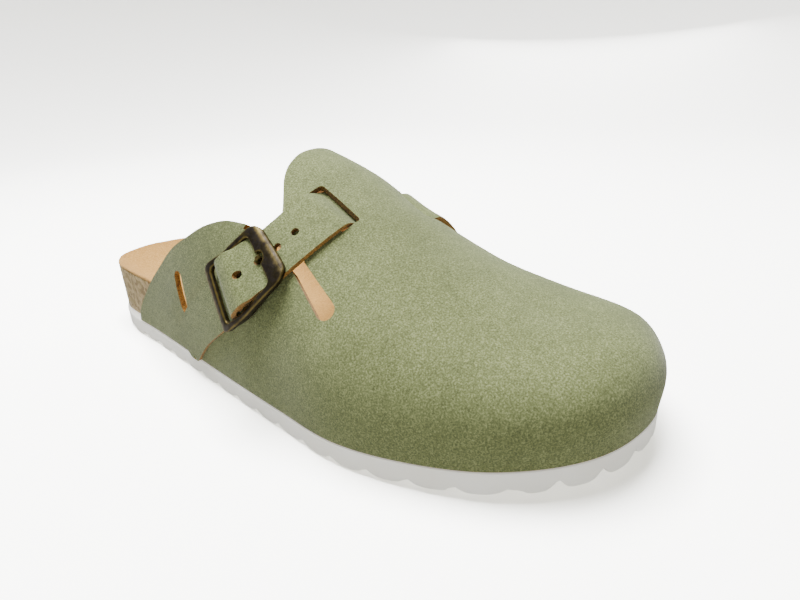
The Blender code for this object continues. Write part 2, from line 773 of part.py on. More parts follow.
def tab_profile():
    """Middle line of the carrier tab: flat on the upper, then round the pin."""
    far, height = pin_place()
    radius = PIN_RADIUS + CLEAR + TAB_THICK / 2
    line = [(ROUTE_END - 0.0, CLEAR + TAB_THICK / 2)]
    steps = 9
    for k in range(1, steps + 1):
        line.append((ROUTE_END + (far - ROUTE_END) * k / steps, CLEAR + TAB_THICK / 2))
    for k in range(1, 12):
        turn = -math.pi / 2 - k * math.radians(21)
        line.append((far + radius * math.cos(turn), height + radius * math.sin(turn)))
    return np.array(line)


def make_tab(material, parts, cutters):
    line = tab_profile()
    step = np.gradient(line, axis=0)
    step /= np.linalg.norm(step, axis=1, keepdims=True)
    side = np.stack([-step[:, 1], step[:, 0]], 1) * TAB_THICK / 2
    rows = []
    for sign in (-1, 1):
        grid = []
        for (far, height), (df, dh) in zip(line, side * sign):
            share = min(1.0, max(0.0, (far - pin_place()[0]) / (ROUTE_END - pin_place()[0])))
            half = TAB_WIDE / 2 * (1 - 0.16 * share**2)
            across = np.linspace(-half, half, 7)
            f = np.full(7, far + df)
            grid.append(band_point(f, across, np.full(7, height + dh)))
        rows.append(np.array(grid))
    points, faces = block(rows)
    tab = new_object("carrier_tab", points, faces, material, parts)
    far, height = pin_place()
    reach = PIN_RADIUS + 2 * PRONG_RADIUS + 2 * CLEAR
    half = PRONG_RADIUS + 2 * CLEAR
    place = (far - reach - TAB_THICK, far + reach + CLEAR)
    lift = (-TAB_THICK, height + reach + 2 * TAB_THICK)
    cut(tab, band_box("prong_gap", place, (-half, half), lift, cutters))
    return tab


def frame_heights(far):
    """(bottom, top) of the buckle frame: its bars lie over the strap, its rails lower."""
    start = frame_start()
    end = start + FRAME_LONG
    strap_top = float(eased(strap_lift(), np.float64(start + FRAME_BAR))[0]) + STRAP_THICK
    low = strap_top + CLEAR
    tail = CLEAR + TAB_THICK + CLEAR + STRAP_THICK + CLEAR
    pin_far, pin = pin_place()
    rows = (
        (start, low - CLEAR, low + FRAME_THICK - 2 * CLEAR),
        (start + 0.3 * FRAME_BAR, low, low + FRAME_THICK),
        (start + FRAME_BAR, low, low + FRAME_THICK),
        (pin_far, pin - PIN_RADIUS - CLEAR, pin + PIN_RADIUS + 3 * CLEAR),
        (end - FRAME_TAIL_BAR - CLEAR, tail, tail + FRAME_THICK),
        (end - 0.5 * FRAME_TAIL_BAR, tail, tail + FRAME_THICK),
        (end, tail - 3 * CLEAR, tail + 0.3 * FRAME_THICK),
    )
    return eased(rows, far)


def make_buckle(material, parts, cutters):
    start = frame_start()
    inner_wide = STRAP_WIDE + 2 * FRAME_PLAY
    half = inner_wide / 2 + FRAME_SIDE
    middle = start + FRAME_LONG / 2
    radius = FRAME_CORNER
    outer = []
    inner = []
    corners = ((1, 1), (-1, 1), (-1, -1), (1, -1))
    for quarter, (sf, sa) in enumerate(corners):
        cf = sf * (FRAME_LONG / 2 - radius)
        ca = sa * (half - radius)
        bar = FRAME_TAIL_BAR if sf > 0 else FRAME_BAR
        inner_f = sf * (FRAME_LONG / 2 - bar)
        inner_a = sa * (half - FRAME_SIDE)
        small = radius * 0.32
        for k in range(7):
            turn = (quarter + k / 6) * math.pi / 2
            outer.append((cf + radius * math.cos(turn), ca + radius * math.sin(turn)))
            inner.append(
                (
                    inner_f - sf * small + small * math.cos(turn),
                    inner_a - sa * small + small * math.sin(turn),
                )
            )
        # Points along the straight part that follows, so that it can bend.
        for u in (0.25, 0.5, 0.75):
            outer.append((u, quarter))
            inner.append((u, quarter))
    outer = fill_straights(outer)
    inner = fill_straights(inner)
    outer[:, 0] += middle
    inner[:, 0] += middle
    rings = []
    for ring, rank in ((outer, 0), (outer, 1), (inner, 1), (inner, 0)):
        height = frame_heights(ring[:, 0])[:, rank]
        rings.append(band_point(ring[:, 0], ring[:, 1], height))
    count = len(outer)
    faces = []
    for level in range(4):
        for k in range(count):
            n = (k + 1) % count
            a, b = level * count, ((level + 1) % 4) * count
            faces.append((a + k, a + n, b + n, b + k))
    buckle = new_object("buckle_frame", np.concatenate(rings), faces, material, parts)
    far, height = pin_place()
    turn = np.arange(12) * math.pi / 6
    f = far + PIN_RADIUS * np.cos(turn)
    h = height + PIN_RADIUS * np.sin(turn)
    reach = half - FRAME_SIDE / 2
    ends = [band_point(f, np.full(12, s * reach), h) for s in (-1, 1)]
    join(buckle, prism("buckle_pin", ends[0], ends[1], cutters))
    place = start + FRAME_BAR
    f = place + NOTCH_RADIUS * np.cos(turn)
    a = NOTCH_RADIUS * np.sin(turn)
    low = band_point(f, a, np.full(12, CLEAR))
    high = band_point(f, a, np.full(12, 6 * FRAME_THICK))
    cut(buckle, prism("prong_notch", low, high, cutters))
    return buckle


def fill_straights(ring):
    """Replaces each placeholder of a straight part by its real point."""
    out = []
    count = len(ring)
    per = 10
    for k, item in enumerate(ring):
        if k % per < 7:
            out.append(item)
            continue
        before = ring[(k // per) * per + 6]
        after = ring[((k // per + 1) * per) % count]
        u = item[0]
        out.append((before[0] + (after[0] - before[0]) * u, before[1] + (after[1] - before[1]) * u))
    return np.array(out, float)


def make_prong(material, parts):
    far, height = pin_place()
    radius = PIN_RADIUS + CLEAR + PRONG_RADIUS
    hole = in_use()
    strap_top = float(eased(strap_lift(), np.float64(hole))[0]) + STRAP_THICK
    bar_top = float(frame_heights(np.float64(frame_start() + FRAME_BAR))[1])
    rest = max(strap_top + CLEAR, bar_top) - 0.2 * PRONG_RADIUS
    low = PRONG_RADIUS + CLEAR
    line = []
    for k in range(9):
        turn = math.radians(-35 + k * 17.5)
        line.append((far + radius * math.cos(turn), height + radius * math.sin(turn)))
    line.append((hole + 0.45 * (far - hole), low + 0.35 * (height - low)))
    line.append((hole + 0.15 * (far - hole), low))
    line.append((hole + 0.9 * PRONG_RADIUS, low + 0.15 * PRONG_RADIUS))
    line.append((hole, low + 1.3 * PRONG_RADIUS))
    line.append((hole - 0.1 * PRONG_RADIUS, rest - 0.6 * PRONG_RADIUS))
    line.append((hole - 1.1 * PRONG_RADIUS, rest + 0.1 * PRONG_RADIUS))
    line.append((hole - 0.85 * NOTCH_RADIUS, rest))
    line = np.array(line)
    points = band_point(line[:, 0], np.zeros(len(line)), line[:, 1])
    curve = bpy.data.curves.new("prong", "CURVE")
    curve.dimensions = "3D"
    curve.bevel_depth = PRONG_RADIUS
    curve.bevel_resolution = 2
    curve.use_fill_caps = True
    spline = curve.splines.new("POLY")
    spline.points.add(len(points) - 1)
    for point, place in zip(spline.points, points):
        point.co = (*map(float, place), 1.0)
    curve.materials.append(material)
    prong = bpy.data.objects.new("prong", curve)
    parts.objects.link(prong)
    return prong


def material_of(name, colour, roughness, metallic=0.0):
    material = bpy.data.materials.new(name)
    material.use_nodes = True
    shader = material.node_tree.nodes["Principled BSDF"]
    shader.inputs["Base Color"].default_value = colour
    shader.inputs["Roughness"].default_value = roughness
    shader.inputs["Metallic"].default_value = metallic
    return material


def centre_on_floor(objects):
    """Moves all pieces so that the bounding box stands on the origin."""
    bpy.context.view_layer.update()
    graph = bpy.context.evaluated_depsgraph_get()
    low = np.full(3, np.inf)
    high = np.full(3, -np.inf)
    for obj in objects:
        evaluated = obj.evaluated_get(graph)
        mesh = evaluated.to_mesh()
        points = np.empty(3 * len(mesh.vertices))
        mesh.vertices.foreach_get("co", points)
        points = points.reshape(-1, 3)
        low = np.minimum(low, points.min(0))
        high = np.maximum(high, points.max(0))
        evaluated.to_mesh_clear()
    return (low[0] + high[0]) / 2, (low[1] + high[1]) / 2, low[2]


def main():
    for obj in list(bpy.data.objects):
        bpy.data.objects.remove(obj, do_unlink=True)
    parts = bpy.data.collections.new("clog_slipper")
    cutters = bpy.data.collections.new("clog_cutters")
    bpy.context.scene.collection.children.link(parts)
    bpy.context.scene.collection.children.link(cutters)

    olive = material_of("olive_nubuck_microfibre", OLIVE, 0.85)
    make_outsole(material_of("white_eva_foam", WHITE, 0.55), parts, cutters)
    make_footbed(material_of("cork_composite", CORK, 0.8), parts)
    make_insole(material_of("tan_suede_lining", TAN, 0.9), parts)
    make_upper(olive, parts, cutters)
    make_strap(material_of("olive_strap", OLIVE, 0.85), parts, cutters)
    make_tab(material_of("olive_tab", OLIVE, 0.85), parts, cutters)
    make_buckle(material_of("antique_brass_cast", BRASS, 0.4, 1.0), parts, cutters)
    make_prong(material_of("antique_brass_wire", BRASS, 0.4, 1.0), parts)

    for obj in cutters.objects:
        obj.hide_render = True
        obj.display_type = "WIRE"
    x, y, z = centre_on_floor(parts.objects)
    for obj in list(parts.objects) + list(cutters.objects):
        obj.location = (-x, -y, -z)
        if obj.type == "MESH":
            obj.data.shade_smooth()
            obj.data.set_sharp_from_angle(angle=math.radians(35))
    bpy.context.view_layer.update()


main()
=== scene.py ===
# %% [markdown]
# A buckled clog slipper, right foot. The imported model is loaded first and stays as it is.
# Each soft piece is then laid out again in finer steps over the same form, so that its
# outline is smooth, and hides its plain solid.

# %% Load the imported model
import math

import bmesh
import bpy
import numpy as np
from mathutils import Matrix, Vector


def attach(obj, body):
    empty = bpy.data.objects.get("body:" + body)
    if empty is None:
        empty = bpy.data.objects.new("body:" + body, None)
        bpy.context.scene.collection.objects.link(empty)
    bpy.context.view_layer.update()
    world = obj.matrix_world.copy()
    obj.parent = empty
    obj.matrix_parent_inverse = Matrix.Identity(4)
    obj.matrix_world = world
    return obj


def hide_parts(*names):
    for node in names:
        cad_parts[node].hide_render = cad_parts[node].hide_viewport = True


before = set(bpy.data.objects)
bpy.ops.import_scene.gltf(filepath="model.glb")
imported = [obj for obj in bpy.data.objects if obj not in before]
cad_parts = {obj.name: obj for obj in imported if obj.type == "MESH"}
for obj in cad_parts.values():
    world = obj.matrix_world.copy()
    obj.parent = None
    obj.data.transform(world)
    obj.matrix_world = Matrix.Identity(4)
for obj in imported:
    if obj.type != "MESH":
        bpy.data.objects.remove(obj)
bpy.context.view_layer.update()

# %% [markdown]
# The shoe's own sizes, in metres. They are the sizes of the CAD solids, written again
# here because this file reads nothing but the frame. Toe to -Y, outer side to -X.

# %% Sizes of the shoe
LENGTH = 0.265
BALL_HALF = 0.0515
INSTEP = 0.092
SOLE_THICK = 0.0085
TOE_SPRING = 0.006
SPRING_START = 0.62
CORK_RIM = 0.0217
LINING_THICK = 0.0012
WALL = 0.0022
CLEAR = 0.0003
HEEL_STEP = 0.0006
TREAD_PITCH = 0.0142
GROOVE_RADIUS = 0.0021
EDGE_ROUND = 0.0012
STRAP_WIDE = 0.020
STRAP_THICK = 0.0018
SLOT_LONG = 0.0100
SLOT_SIDE = 0.0015
SLOT_SPAN = 0.0325
HOLE_PITCH = 0.0074
HOLE_RADIUS = 0.0014
FIRST_HOLE = 0.0203
TAIL_HIDDEN = 0.0014
SLIT_WIDE = 0.0068
BADGE_LONG = 0.018
BADGE_WIDE = 0.0062
FRAME_LONG = 0.0325
FRAME_BAR = 0.0060
FRAME_SIDE = 0.0024
FRAME_TAIL_BAR = 0.0048
FRAME_THICK = 0.0022
FRAME_CORNER = 0.0050
FRAME_PLAY = 0.0004
PIN_RADIUS = 0.0011
PRONG_RADIUS = 0.0008
NOTCH_RADIUS = 0.0024
TAB_WIDE = 0.0190
TAB_THICK = 0.0014
# The forms below are drawn about the middle of the sole. The model stands with the
# middle of its bounding box on the origin, this far from there.
STAND = np.array([0.001224, 0.000497, 0.0])

# %% [markdown]
# The form of the last: an outline for the sole and sections over it, each with its
# crest, its fullness on both sides and its swell. The tables are shares of the sizes.

# %% Tables of the form
# Outline of the sole: (along, lateral half width, medial half width).
OUTLINE = (
    (0.000, 0.00, 0.00),
    (0.012, 0.31, 0.20),
    (0.045, 0.46, 0.47),
    (0.100, 0.58, 0.62),
    (0.200, 0.65, 0.68),
    (0.320, 0.745, 0.645),
    (0.450, 0.85, 0.665),
    (0.580, 0.945, 0.80),
    (0.690, 1.01, 0.925),
    (0.790, 0.935, 0.96),
    (0.880, 0.775, 0.92),
    (0.950, 0.51, 0.76),
    (0.985, 0.24, 0.47),
    (1.000, -0.16, 0.16),
)
# Sections of the last. The first column is the share of the way round the outline,
# from the heel (0) to the toe tip (1). The crest columns are its place along, its
# place across and its height. Fullness 2 is an ellipse, more is squarer. The last
# column is how far the side swells past the outline, as a share of the half width.
SECTIONS = (
    # way, along, across, height, lateral full, medial full, swell
    (0.00, 0.10, 0.00, 1.10, 2.20, 2.20, 0.020),
    (0.15, 0.16, 0.00, 1.14, 2.20, 2.20, 0.020),
    (0.30, 0.31, -0.04, 1.16, 2.10, 2.45, 0.030),
    (0.38, 0.39, -0.01, 1.10, 2.10, 2.55, 0.040),
    (0.46, 0.47, 0.04, 1.005, 2.10, 2.55, 0.040),
    (0.54, 0.56, 0.07, 0.900, 2.10, 2.45, 0.050),
    (0.62, 0.65, 0.06, 0.755, 2.15, 2.05, 0.058),
    (0.70, 0.74, 0.04, 0.625, 2.20, 2.05, 0.058),
    (0.76, 0.81, 0.03, 0.540, 2.35, 2.25, 0.058),
    (0.82, 0.86, 0.03, 0.485, 2.55, 2.55, 0.058),
    (0.90, 0.880, 0.03, 0.470, 2.70, 2.70, 0.058),
    (1.00, 0.880, 0.03, 0.470, 2.70, 2.70, 0.058),
)
# Top edge of the quarters: (way of the foot of the column, way of its top, side of
# its top). Side is -1 at the lateral edge of the sole, 0 on the crest, 1 medial.
LATERAL_TOP = (
    (0.178, 0.184, -0.972),
    (0.205, 0.215, -0.912),
    (0.240, 0.250, -0.846),
    (0.290, 0.300, -0.760),
    (0.330, 0.337, -0.692),
    (0.370, 0.372, -0.633),
    (0.410, 0.410, -0.562),
    (0.450, 0.449, -0.502),
    (0.490, 0.487, -0.470),
)
MEDIAL_TOP = (
    (0.178, 0.184, 0.968),
    (0.205, 0.215, 0.925),
    (0.240, 0.255, 0.875),
    (0.290, 0.308, 0.785),
    (0.340, 0.360, 0.650),
    (0.385, 0.400, 0.520),
    (0.425, 0.432, 0.400),
    (0.460, 0.461, 0.300),
    (0.490, 0.484, 0.150),
)
# Front edge of the collar on the instep: (side, way).
TONGUE_EDGE = (
    (-0.47, 0.535),
    (-0.40, 0.526),
    (-0.355, 0.520),
    (-0.297, 0.509),
    (-0.242, 0.498),
    (-0.162, 0.489),
    (-0.040, 0.484),
    (0.15, 0.484),
)
COLLAR_WAY = 0.490  # way of the section where the quarters meet the instep
LEAN_OUT = 0.100  # the tongue edge's shape fades out over this much of the way
# Slit between the lateral quarter and the instep: (way, side, width as a share of
# SLIT_WIDE) at its mouth, its neck and its round end.
SLIT = (
    (0.488, -0.430, 1.90),
    (0.530, -0.450, 1.30),
    (0.573, -0.488, 0.74),
    (0.629, -0.554, 1.00),
)
# Plain window in the lateral quarter: (way, side) towards its two ends.
BADGE = ((0.354, -0.872), (0.344, -0.765))
# Route of the strap and, past the buckle, of its carrier tab: (way, side).
ROUTE = (
    (0.590, 0.985),
    (0.594, 0.800),
    (0.600, 0.550),
    (0.602, 0.300),
    (0.596, 0.120),
    (0.584, -0.030),
    (0.571, -0.167),
    (0.564, -0.285),
    (0.553, -0.397),
    (0.540, -0.480),
    (0.528, -0.539),
    (0.514, -0.597),
    (0.495, -0.662),
    (0.472, -0.722),
    (0.433, -0.804),
    (0.391, -0.885),
    (0.345, -0.985),
)
LIP_ROW = 6  # row of the route that lies at the lip of the front slot

# Footbed: (along, middle thickness, lateral rim, medial rim) as shares of CORK_RIM.
BED = (
    (0.00, 0.62, 1.00, 1.00),
    (0.10, 0.50, 1.00, 1.00),
    (0.20, 0.50, 0.98, 1.02),
    (0.35, 0.62, 0.86, 1.06),
    (0.50, 0.60, 0.68, 0.98),
    (0.65, 0.42, 0.56, 0.66),
    (0.80, 0.34, 0.50, 0.50),
    (1.00, 0.34, 0.50, 0.50),
)
CUP_START, CUP_END = 0.14, 0.86  # where the footbed's sections fan round heel and toe

# %% [markdown]
# Points on the form. A point of the upper is given by its way round the outline, from
# the heel to the toe tip, and its side, from the outer edge of the sole over the crest
# to the inner edge. A point of the strap is given by its distance from the front slot.

# %% Curves and forms
def eased(rows, at):
    """Columns 1.. of a table at these values of column 0, without overshoot."""
    table = np.asarray(rows, float)
    x = table[:, 0]
    y = table[:, 1:]
    step = np.diff(x)[:, None]
    slope = np.diff(y, axis=0) / step
    tangent = np.zeros_like(y)
    tangent[0] = slope[0]
    tangent[-1] = slope[-1]
    for i in range(1, len(x) - 1):
        same = slope[i - 1] * slope[i] > 0
        w0 = 2 * step[i] + step[i - 1]
        w1 = step[i] + 2 * step[i - 1]
        before = np.where(same, slope[i - 1], 1.0)
        after = np.where(same, slope[i], 1.0)
        tangent[i] = np.where(same, (w0 + w1) / (w0 / before + w1 / after), 0.0)
    at = np.asarray(at, float)
    i = np.clip(np.searchsorted(x, at, side="right") - 1, 0, len(x) - 2)
    h = step[i]
    u = (at[..., None] - x[i][..., None]) / h
    value = (2 * u**3 - 3 * u**2 + 1) * y[i] + (u**3 - 2 * u**2 + u) * h * tangent[i]
    return value + (-2 * u**3 + 3 * u**2) * y[i + 1] + (u**3 - u**2) * h * tangent[i + 1]


def closed_curve(points, steps):
    """A smooth closed curve through the points."""
    count = len(points)
    chord = np.sqrt(np.linalg.norm(np.roll(points, -1, 0) - points, axis=1))
    out = []
    for i in range(count):
        p0, p1 = points[i - 1], points[i]
        p2, p3 = points[(i + 1) % count], points[(i + 2) % count]
        d0, d1, d2 = chord[i - 1], chord[i], chord[(i + 1) % count]
        t1 = ((p1 - p0) / d0 - (p2 - p0) / (d0 + d1) + (p2 - p1) / d1) * d1
        t2 = ((p2 - p1) / d1 - (p3 - p1) / (d1 + d2) + (p3 - p2) / d2) * d1
        u = np.arange(steps)[:, None] / steps
        part = (2 * u**3 - 3 * u**2 + 1) * p1 + (u**3 - 2 * u**2 + u) * t1
        out.append(part + (-2 * u**3 + 3 * u**2) * p2 + (u**3 - u**2) * t2)
    return np.concatenate(out)


def outline_halves():
    """The lateral and the medial half of the outline, each from heel to toe tip."""
    rows = np.asarray(OUTLINE, float)
    y = (0.5 - rows[:, 0]) * LENGTH
    lateral = np.stack([-rows[:, 1] * BALL_HALF, y], 1)
    medial = np.stack([rows[:, 2] * BALL_HALF, y], 1)
    tip = (lateral[-1:] + medial[-1:]) / 2
    ring = closed_curve(np.concatenate([lateral[:-1], tip, medial[-2:0:-1]]), 16)
    ring = np.concatenate([ring, ring[:1]])
    turn = (len(rows) - 1) * 16
    return ring[: turn + 1], ring[turn:][::-1]


def by_way(curve):
    """A function from the share of the way along this curve to its point."""
    leg = np.linalg.norm(np.diff(curve, axis=0), axis=1)
    way = np.concatenate([[0.0], np.cumsum(leg)]) / leg.sum()
    return lambda at: np.stack([np.interp(at, way, curve[:, k]) for k in (0, 1)], -1)


LATERAL, MEDIAL = (by_way(half) for half in outline_halves())


def along(y):
    return 0.5 - y / LENGTH


def ground(y):
    """Height of the outsole's underside, which lifts towards the toe."""
    past = np.clip((along(y) - SPRING_START) / (1 - SPRING_START), 0, None)
    return TOE_SPRING * past**2


def seat(y):
    """Height of what stands on the outsole."""
    return ground(y) + SOLE_THICK + CLEAR


def edge(way, side, inset=0.0):
    """Outline point, moved inwards by the inset."""
    half = LATERAL if side < 0 else MEDIAL
    ahead = half(np.clip(np.asarray(way) + 0.004, 0, 1))
    behind = half(np.clip(np.asarray(way) - 0.004, 0, 1))
    turn = ahead - behind
    turn /= np.linalg.norm(turn, axis=-1, keepdims=True)
    inward = np.stack([-turn[..., 1], turn[..., 0]], -1) * (1 if side < 0 else -1)
    # On the centre line of heel and toe both halves give the same point.
    ends = (np.asarray(way) <= 0) | (np.asarray(way) >= 1)
    straight = np.stack([0 * turn[..., 0], np.where(np.asarray(way) < 0.5, -1.0, 1.0)], -1)
    inward = np.where(ends[..., None], straight, inward)
    return half(way) + inward * np.asarray(inset)[..., None]


def last_point(way, side):
    """Point on the outer face of the upper. Side is -1 lateral edge, 0 crest, 1 medial."""
    way, side = np.broadcast_arrays(np.asarray(way, float), np.asarray(side, float))
    row = eased(SECTIONS, way)
    foot = np.where((side < 0)[..., None], LATERAL(way), MEDIAL(way))
    low = seat(foot[..., 1])
    crest = np.stack([row[..., 1] * BALL_HALF, (0.5 - row[..., 0]) * LENGTH], -1)
    turn = (1 - np.abs(side)) * math.pi / 2
    power = 2 / np.where(side < 0, row[..., 3], row[..., 4])
    inwards = 1 - np.cos(turn) ** power
    upwards = np.sin(turn) ** power
    reach = crest - foot
    swell = row[..., 5] * BALL_HALF * 2.6 * np.sin(turn) * np.cos(turn) ** 2
    inwards = inwards - swell / np.linalg.norm(reach, axis=-1)
    flat = foot + reach * inwards[..., None]
    height = low + (row[..., 2] * INSTEP - low) * upwards
    return np.concatenate([flat, height[..., None]], -1)


def slopes(way, side):
    """How the point moves with way and with side."""
    d = 1e-3
    by_w = (last_point(way + d, side) - last_point(way - d, side)) / (2 * d)
    ahead = np.clip(side + d, -1, 1)
    behind = np.clip(side - d, -1, 1)
    by_s = (last_point(way, ahead) - last_point(way, behind)) / (ahead - behind)[..., None]
    return by_w, by_s


def skin(way, side, lift):
    """Point at this height over the outer face of the upper."""
    way, side = np.broadcast_arrays(np.asarray(way, float), np.asarray(side, float))
    by_w, by_s = slopes(way, side)
    out = np.cross(by_w, by_s)
    out /= np.maximum(np.linalg.norm(out, axis=-1, keepdims=True), 1e-12)
    return last_point(way, side) + out * np.asarray(lift)[..., None]


def route_table():
    """(distance from the slot's lip, way, side) along the strap's route."""
    rows = np.asarray(ROUTE, float)
    row = np.arange(len(rows))
    table = np.column_stack([row, rows])
    fine = np.linspace(0, len(rows) - 1, 16 * (len(rows) - 1) + 1)
    place = eased(table, fine)
    leg = np.linalg.norm(np.diff(last_point(place[:, 0], place[:, 1]), axis=0), axis=1)
    far = np.concatenate([[0.0], np.cumsum(leg)])
    return np.column_stack([far - far[16 * LIP_ROW], place])


ROUTE_TABLE = route_table()
ROUTE_START = ROUTE_TABLE[0, 0]
ROUTE_END = ROUTE_TABLE[-1, 0]


def band_point(far, across, lift):
    """Point of a band on the route: distance from the lip, place across, height."""
    far, across, lift = np.broadcast_arrays(
        np.asarray(far, float), np.asarray(across, float), np.asarray(lift, float)
    )
    at = np.clip(far, ROUTE_START, ROUTE_END)
    way = np.interp(at, ROUTE_TABLE[:, 0], ROUTE_TABLE[:, 1])
    side = np.interp(at, ROUTE_TABLE[:, 0], ROUTE_TABLE[:, 2])
    d = 0.004
    a0, a1 = np.clip(at - d, ROUTE_START, ROUTE_END), np.clip(at + d, ROUTE_START, ROUTE_END)
    d_way = np.interp(a1, ROUTE_TABLE[:, 0], ROUTE_TABLE[:, 1])
    d_way -= np.interp(a0, ROUTE_TABLE[:, 0], ROUTE_TABLE[:, 1])
    d_side = np.interp(a1, ROUTE_TABLE[:, 0], ROUTE_TABLE[:, 2])
    d_side -= np.interp(a0, ROUTE_TABLE[:, 0], ROUTE_TABLE[:, 2])
    by_w, by_s = slopes(way, side)
    run = by_w * d_way[..., None] + by_s * d_side[..., None]
    run /= np.linalg.norm(run, axis=-1, keepdims=True)
    out = np.cross(by_w, by_s)
    out /= np.linalg.norm(out, axis=-1, keepdims=True)
    sideways = np.cross(run, out)
    # The step across, in terms of way and side.
    ww = (by_w * by_w).sum(-1)
    ws = (by_w * by_s).sum(-1)
    ss = (by_s * by_s).sum(-1)
    bw = (by_w * sideways).sum(-1)
    bs = (by_s * sideways).sum(-1)
    det = ww * ss - ws * ws
    way = way + across * (ss * bw - ws * bs) / det
    side = side + across * (ww * bs - ws * bw) / det
    return skin(way, np.clip(side, -0.9999, 0.9999), lift)


def in_use():
    """Distance of the strap hole that the prong goes through."""
    return FIRST_HOLE + 2 * HOLE_PITCH


def frame_start():
    return in_use() - FRAME_BAR - 0.6 * HOLE_RADIUS


def strap_end():
    return frame_start() + FRAME_LONG - FRAME_TAIL_BAR + TAIL_HIDDEN


def pin_height():
    return CLEAR + TAB_THICK + CLEAR + PIN_RADIUS


def pin_place():
    """(distance, height) of the buckle's pin."""
    return frame_start() + 0.575 * FRAME_LONG, pin_height()


def strap_lift():
    """(distance, height of the strap's underside) along the route."""
    out = CLEAR
    under = -(WALL + STRAP_THICK + 2 * CLEAR)
    over = pin_height() + PIN_RADIUS + TAB_THICK + 2 * CLEAR
    hole = 2 * PRONG_RADIUS + 4 * CLEAR
    return (
        (ROUTE_START, out),
        (-SLOT_SPAN - SLOT_LONG, out),
        (-SLOT_SPAN - 0.02 * SLOT_LONG, under),
        (-0.02 * SLOT_LONG, under),
        (0.93 * SLOT_LONG, out),
        (frame_start() - 0.5 * FRAME_BAR, out),
        (frame_start() + FRAME_BAR, out + 0.15 * hole),
        (in_use() + HOLE_RADIUS, out + 0.7 * hole),
        (in_use() + HOLE_PITCH, out + 0.3 * hole + 0.5 * over),
        (pin_place()[0] - 0.05 * FRAME_LONG, over),
        (pin_place()[0] + 0.04 * FRAME_LONG, over),
        (strap_end() - TAIL_HIDDEN - 3 * CLEAR, CLEAR + TAB_THICK + CLEAR),
        (ROUTE_END, CLEAR + TAB_THICK + CLEAR),
    )


def frame_heights(far):
    """(bottom, top) of the buckle frame: its bars lie over the strap, its rails lower."""
    start = frame_start()
    end = start + FRAME_LONG
    strap_top = float(eased(strap_lift(), np.float64(start + FRAME_BAR))[0]) + STRAP_THICK
    low = strap_top + CLEAR
    tail = CLEAR + TAB_THICK + CLEAR + STRAP_THICK + CLEAR
    pin_far, pin = pin_place()
    rows = (
        (start, low - CLEAR, low + FRAME_THICK - 2 * CLEAR),
        (start + 0.3 * FRAME_BAR, low, low + FRAME_THICK),
        (start + FRAME_BAR, low, low + FRAME_THICK),
        (pin_far, pin - PIN_RADIUS - CLEAR, pin + PIN_RADIUS + 3 * CLEAR),
        (end - FRAME_TAIL_BAR - CLEAR, tail, tail + FRAME_THICK),
        (end - 0.5 * FRAME_TAIL_BAR, tail, tail + FRAME_THICK),
        (end, tail - 3 * CLEAR, tail + 0.3 * FRAME_THICK),
    )
    return eased(rows, far)


def footbed_inset(way):
    """The cork is nearly flush at the bare heel and makes room for the upper elsewhere."""
    share = np.clip((np.asarray(way) - 0.085) / 0.07, 0, 1)
    share = share * share * (3 - 2 * share)
    return HEEL_STEP + (WALL + 2 * CLEAR - HEEL_STEP + CLEAR) * share


def across_sole(way, across, inset):
    """Point in plan on the line from the lateral edge (-1) to the medial edge (1)."""
    sign = np.where(across < 0, -1.0, 1.0)
    lateral = edge(way, -1, inset)
    medial = edge(way, 1, inset)
    rim = np.where((sign < 0)[:, None], lateral, medial)
    middle = (lateral + medial) / 2
    middle[:, 1] = np.clip(middle[:, 1], (0.5 - CUP_END) * LENGTH, (0.5 - CUP_START) * LENGTH)
    return middle + (rim - middle) * np.abs(across)[:, None]


def bed_height(way, across, flat):
    """Height of the cork over the outsole's top: a heel cup, an arch and a toe bed."""
    row = eased(BED, np.clip(along(flat[:, 1]), 0, 1))
    top = np.where(across < 0, row[:, 1], row[:, 2])
    both = (row[:, 1] + row[:, 2]) / 2
    near = np.clip(np.minimum(way, 1 - way) / 0.06, 0, 1)
    top = both + (top - both) * near
    return (row[:, 0] + (top - row[:, 0]) * np.abs(across) ** 3.2) * CORK_RIM


# %% [markdown]
# Every soft piece starts as a flat grid of squares, as a cut piece starts as a flat
# hide. Each vertex of the grid is then moved to its place on the form, and the borders
# that meet are merged. That keeps rows of even quads, which shade smoothly and carry
# creases well. Subdividing the coarse solid instead would keep its flat facets.

# %% Laying a grid over a form
def laid_grid(form, columns, rows, place):
    """Adds a grid of columns by rows and moves it to place(u, v), both from 0 to 1."""
    made = bmesh.ops.create_grid(form, x_segments=columns, y_segments=rows, size=0.5)
    verts = made["verts"]
    flat = np.round(np.array([vert.co[:2] for vert in verts]) + 0.5, 6)
    spots = place(flat[:, 0], flat[:, 1]) + STAND
    for vert, spot in zip(verts, spots):
        vert.co = spot
    return verts


def piece_of(name, form, materials):
    """Ends a bmesh as a smooth piece that rides on the shoe."""
    mesh = bpy.data.meshes.new(name)
    form.to_mesh(mesh)
    form.free()
    piece = bpy.data.objects.new(name, mesh)
    bpy.context.scene.collection.objects.link(piece)
    for material in materials:
        mesh.materials.append(material)
    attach(piece, "root")
    return piece


def merged(form, dist=2e-5, outwards=True):
    """Closes the seams of a grid and turns its faces outwards."""
    bmesh.ops.remove_doubles(form, verts=form.verts, dist=dist)
    bmesh.ops.dissolve_degenerate(form, edges=form.edges, dist=1e-6)
    if outwards:
        bmesh.ops.recalc_face_normals(form, faces=form.faces)
    print("edges open or shared by three", sum(not item.is_manifold for item in form.edges))


def turned(form, spot, towards):
    """Turns an open sheet so that its face nearest to the spot looks this way."""
    form.normal_update()
    spot = Vector(np.asarray(spot) + STAND)
    nearest = min(form.faces, key=lambda face: (face.calc_center_median() - spot).length)
    if nearest.normal.dot(Vector(towards)) < 0:
        bmesh.ops.reverse_faces(form, faces=form.faces)


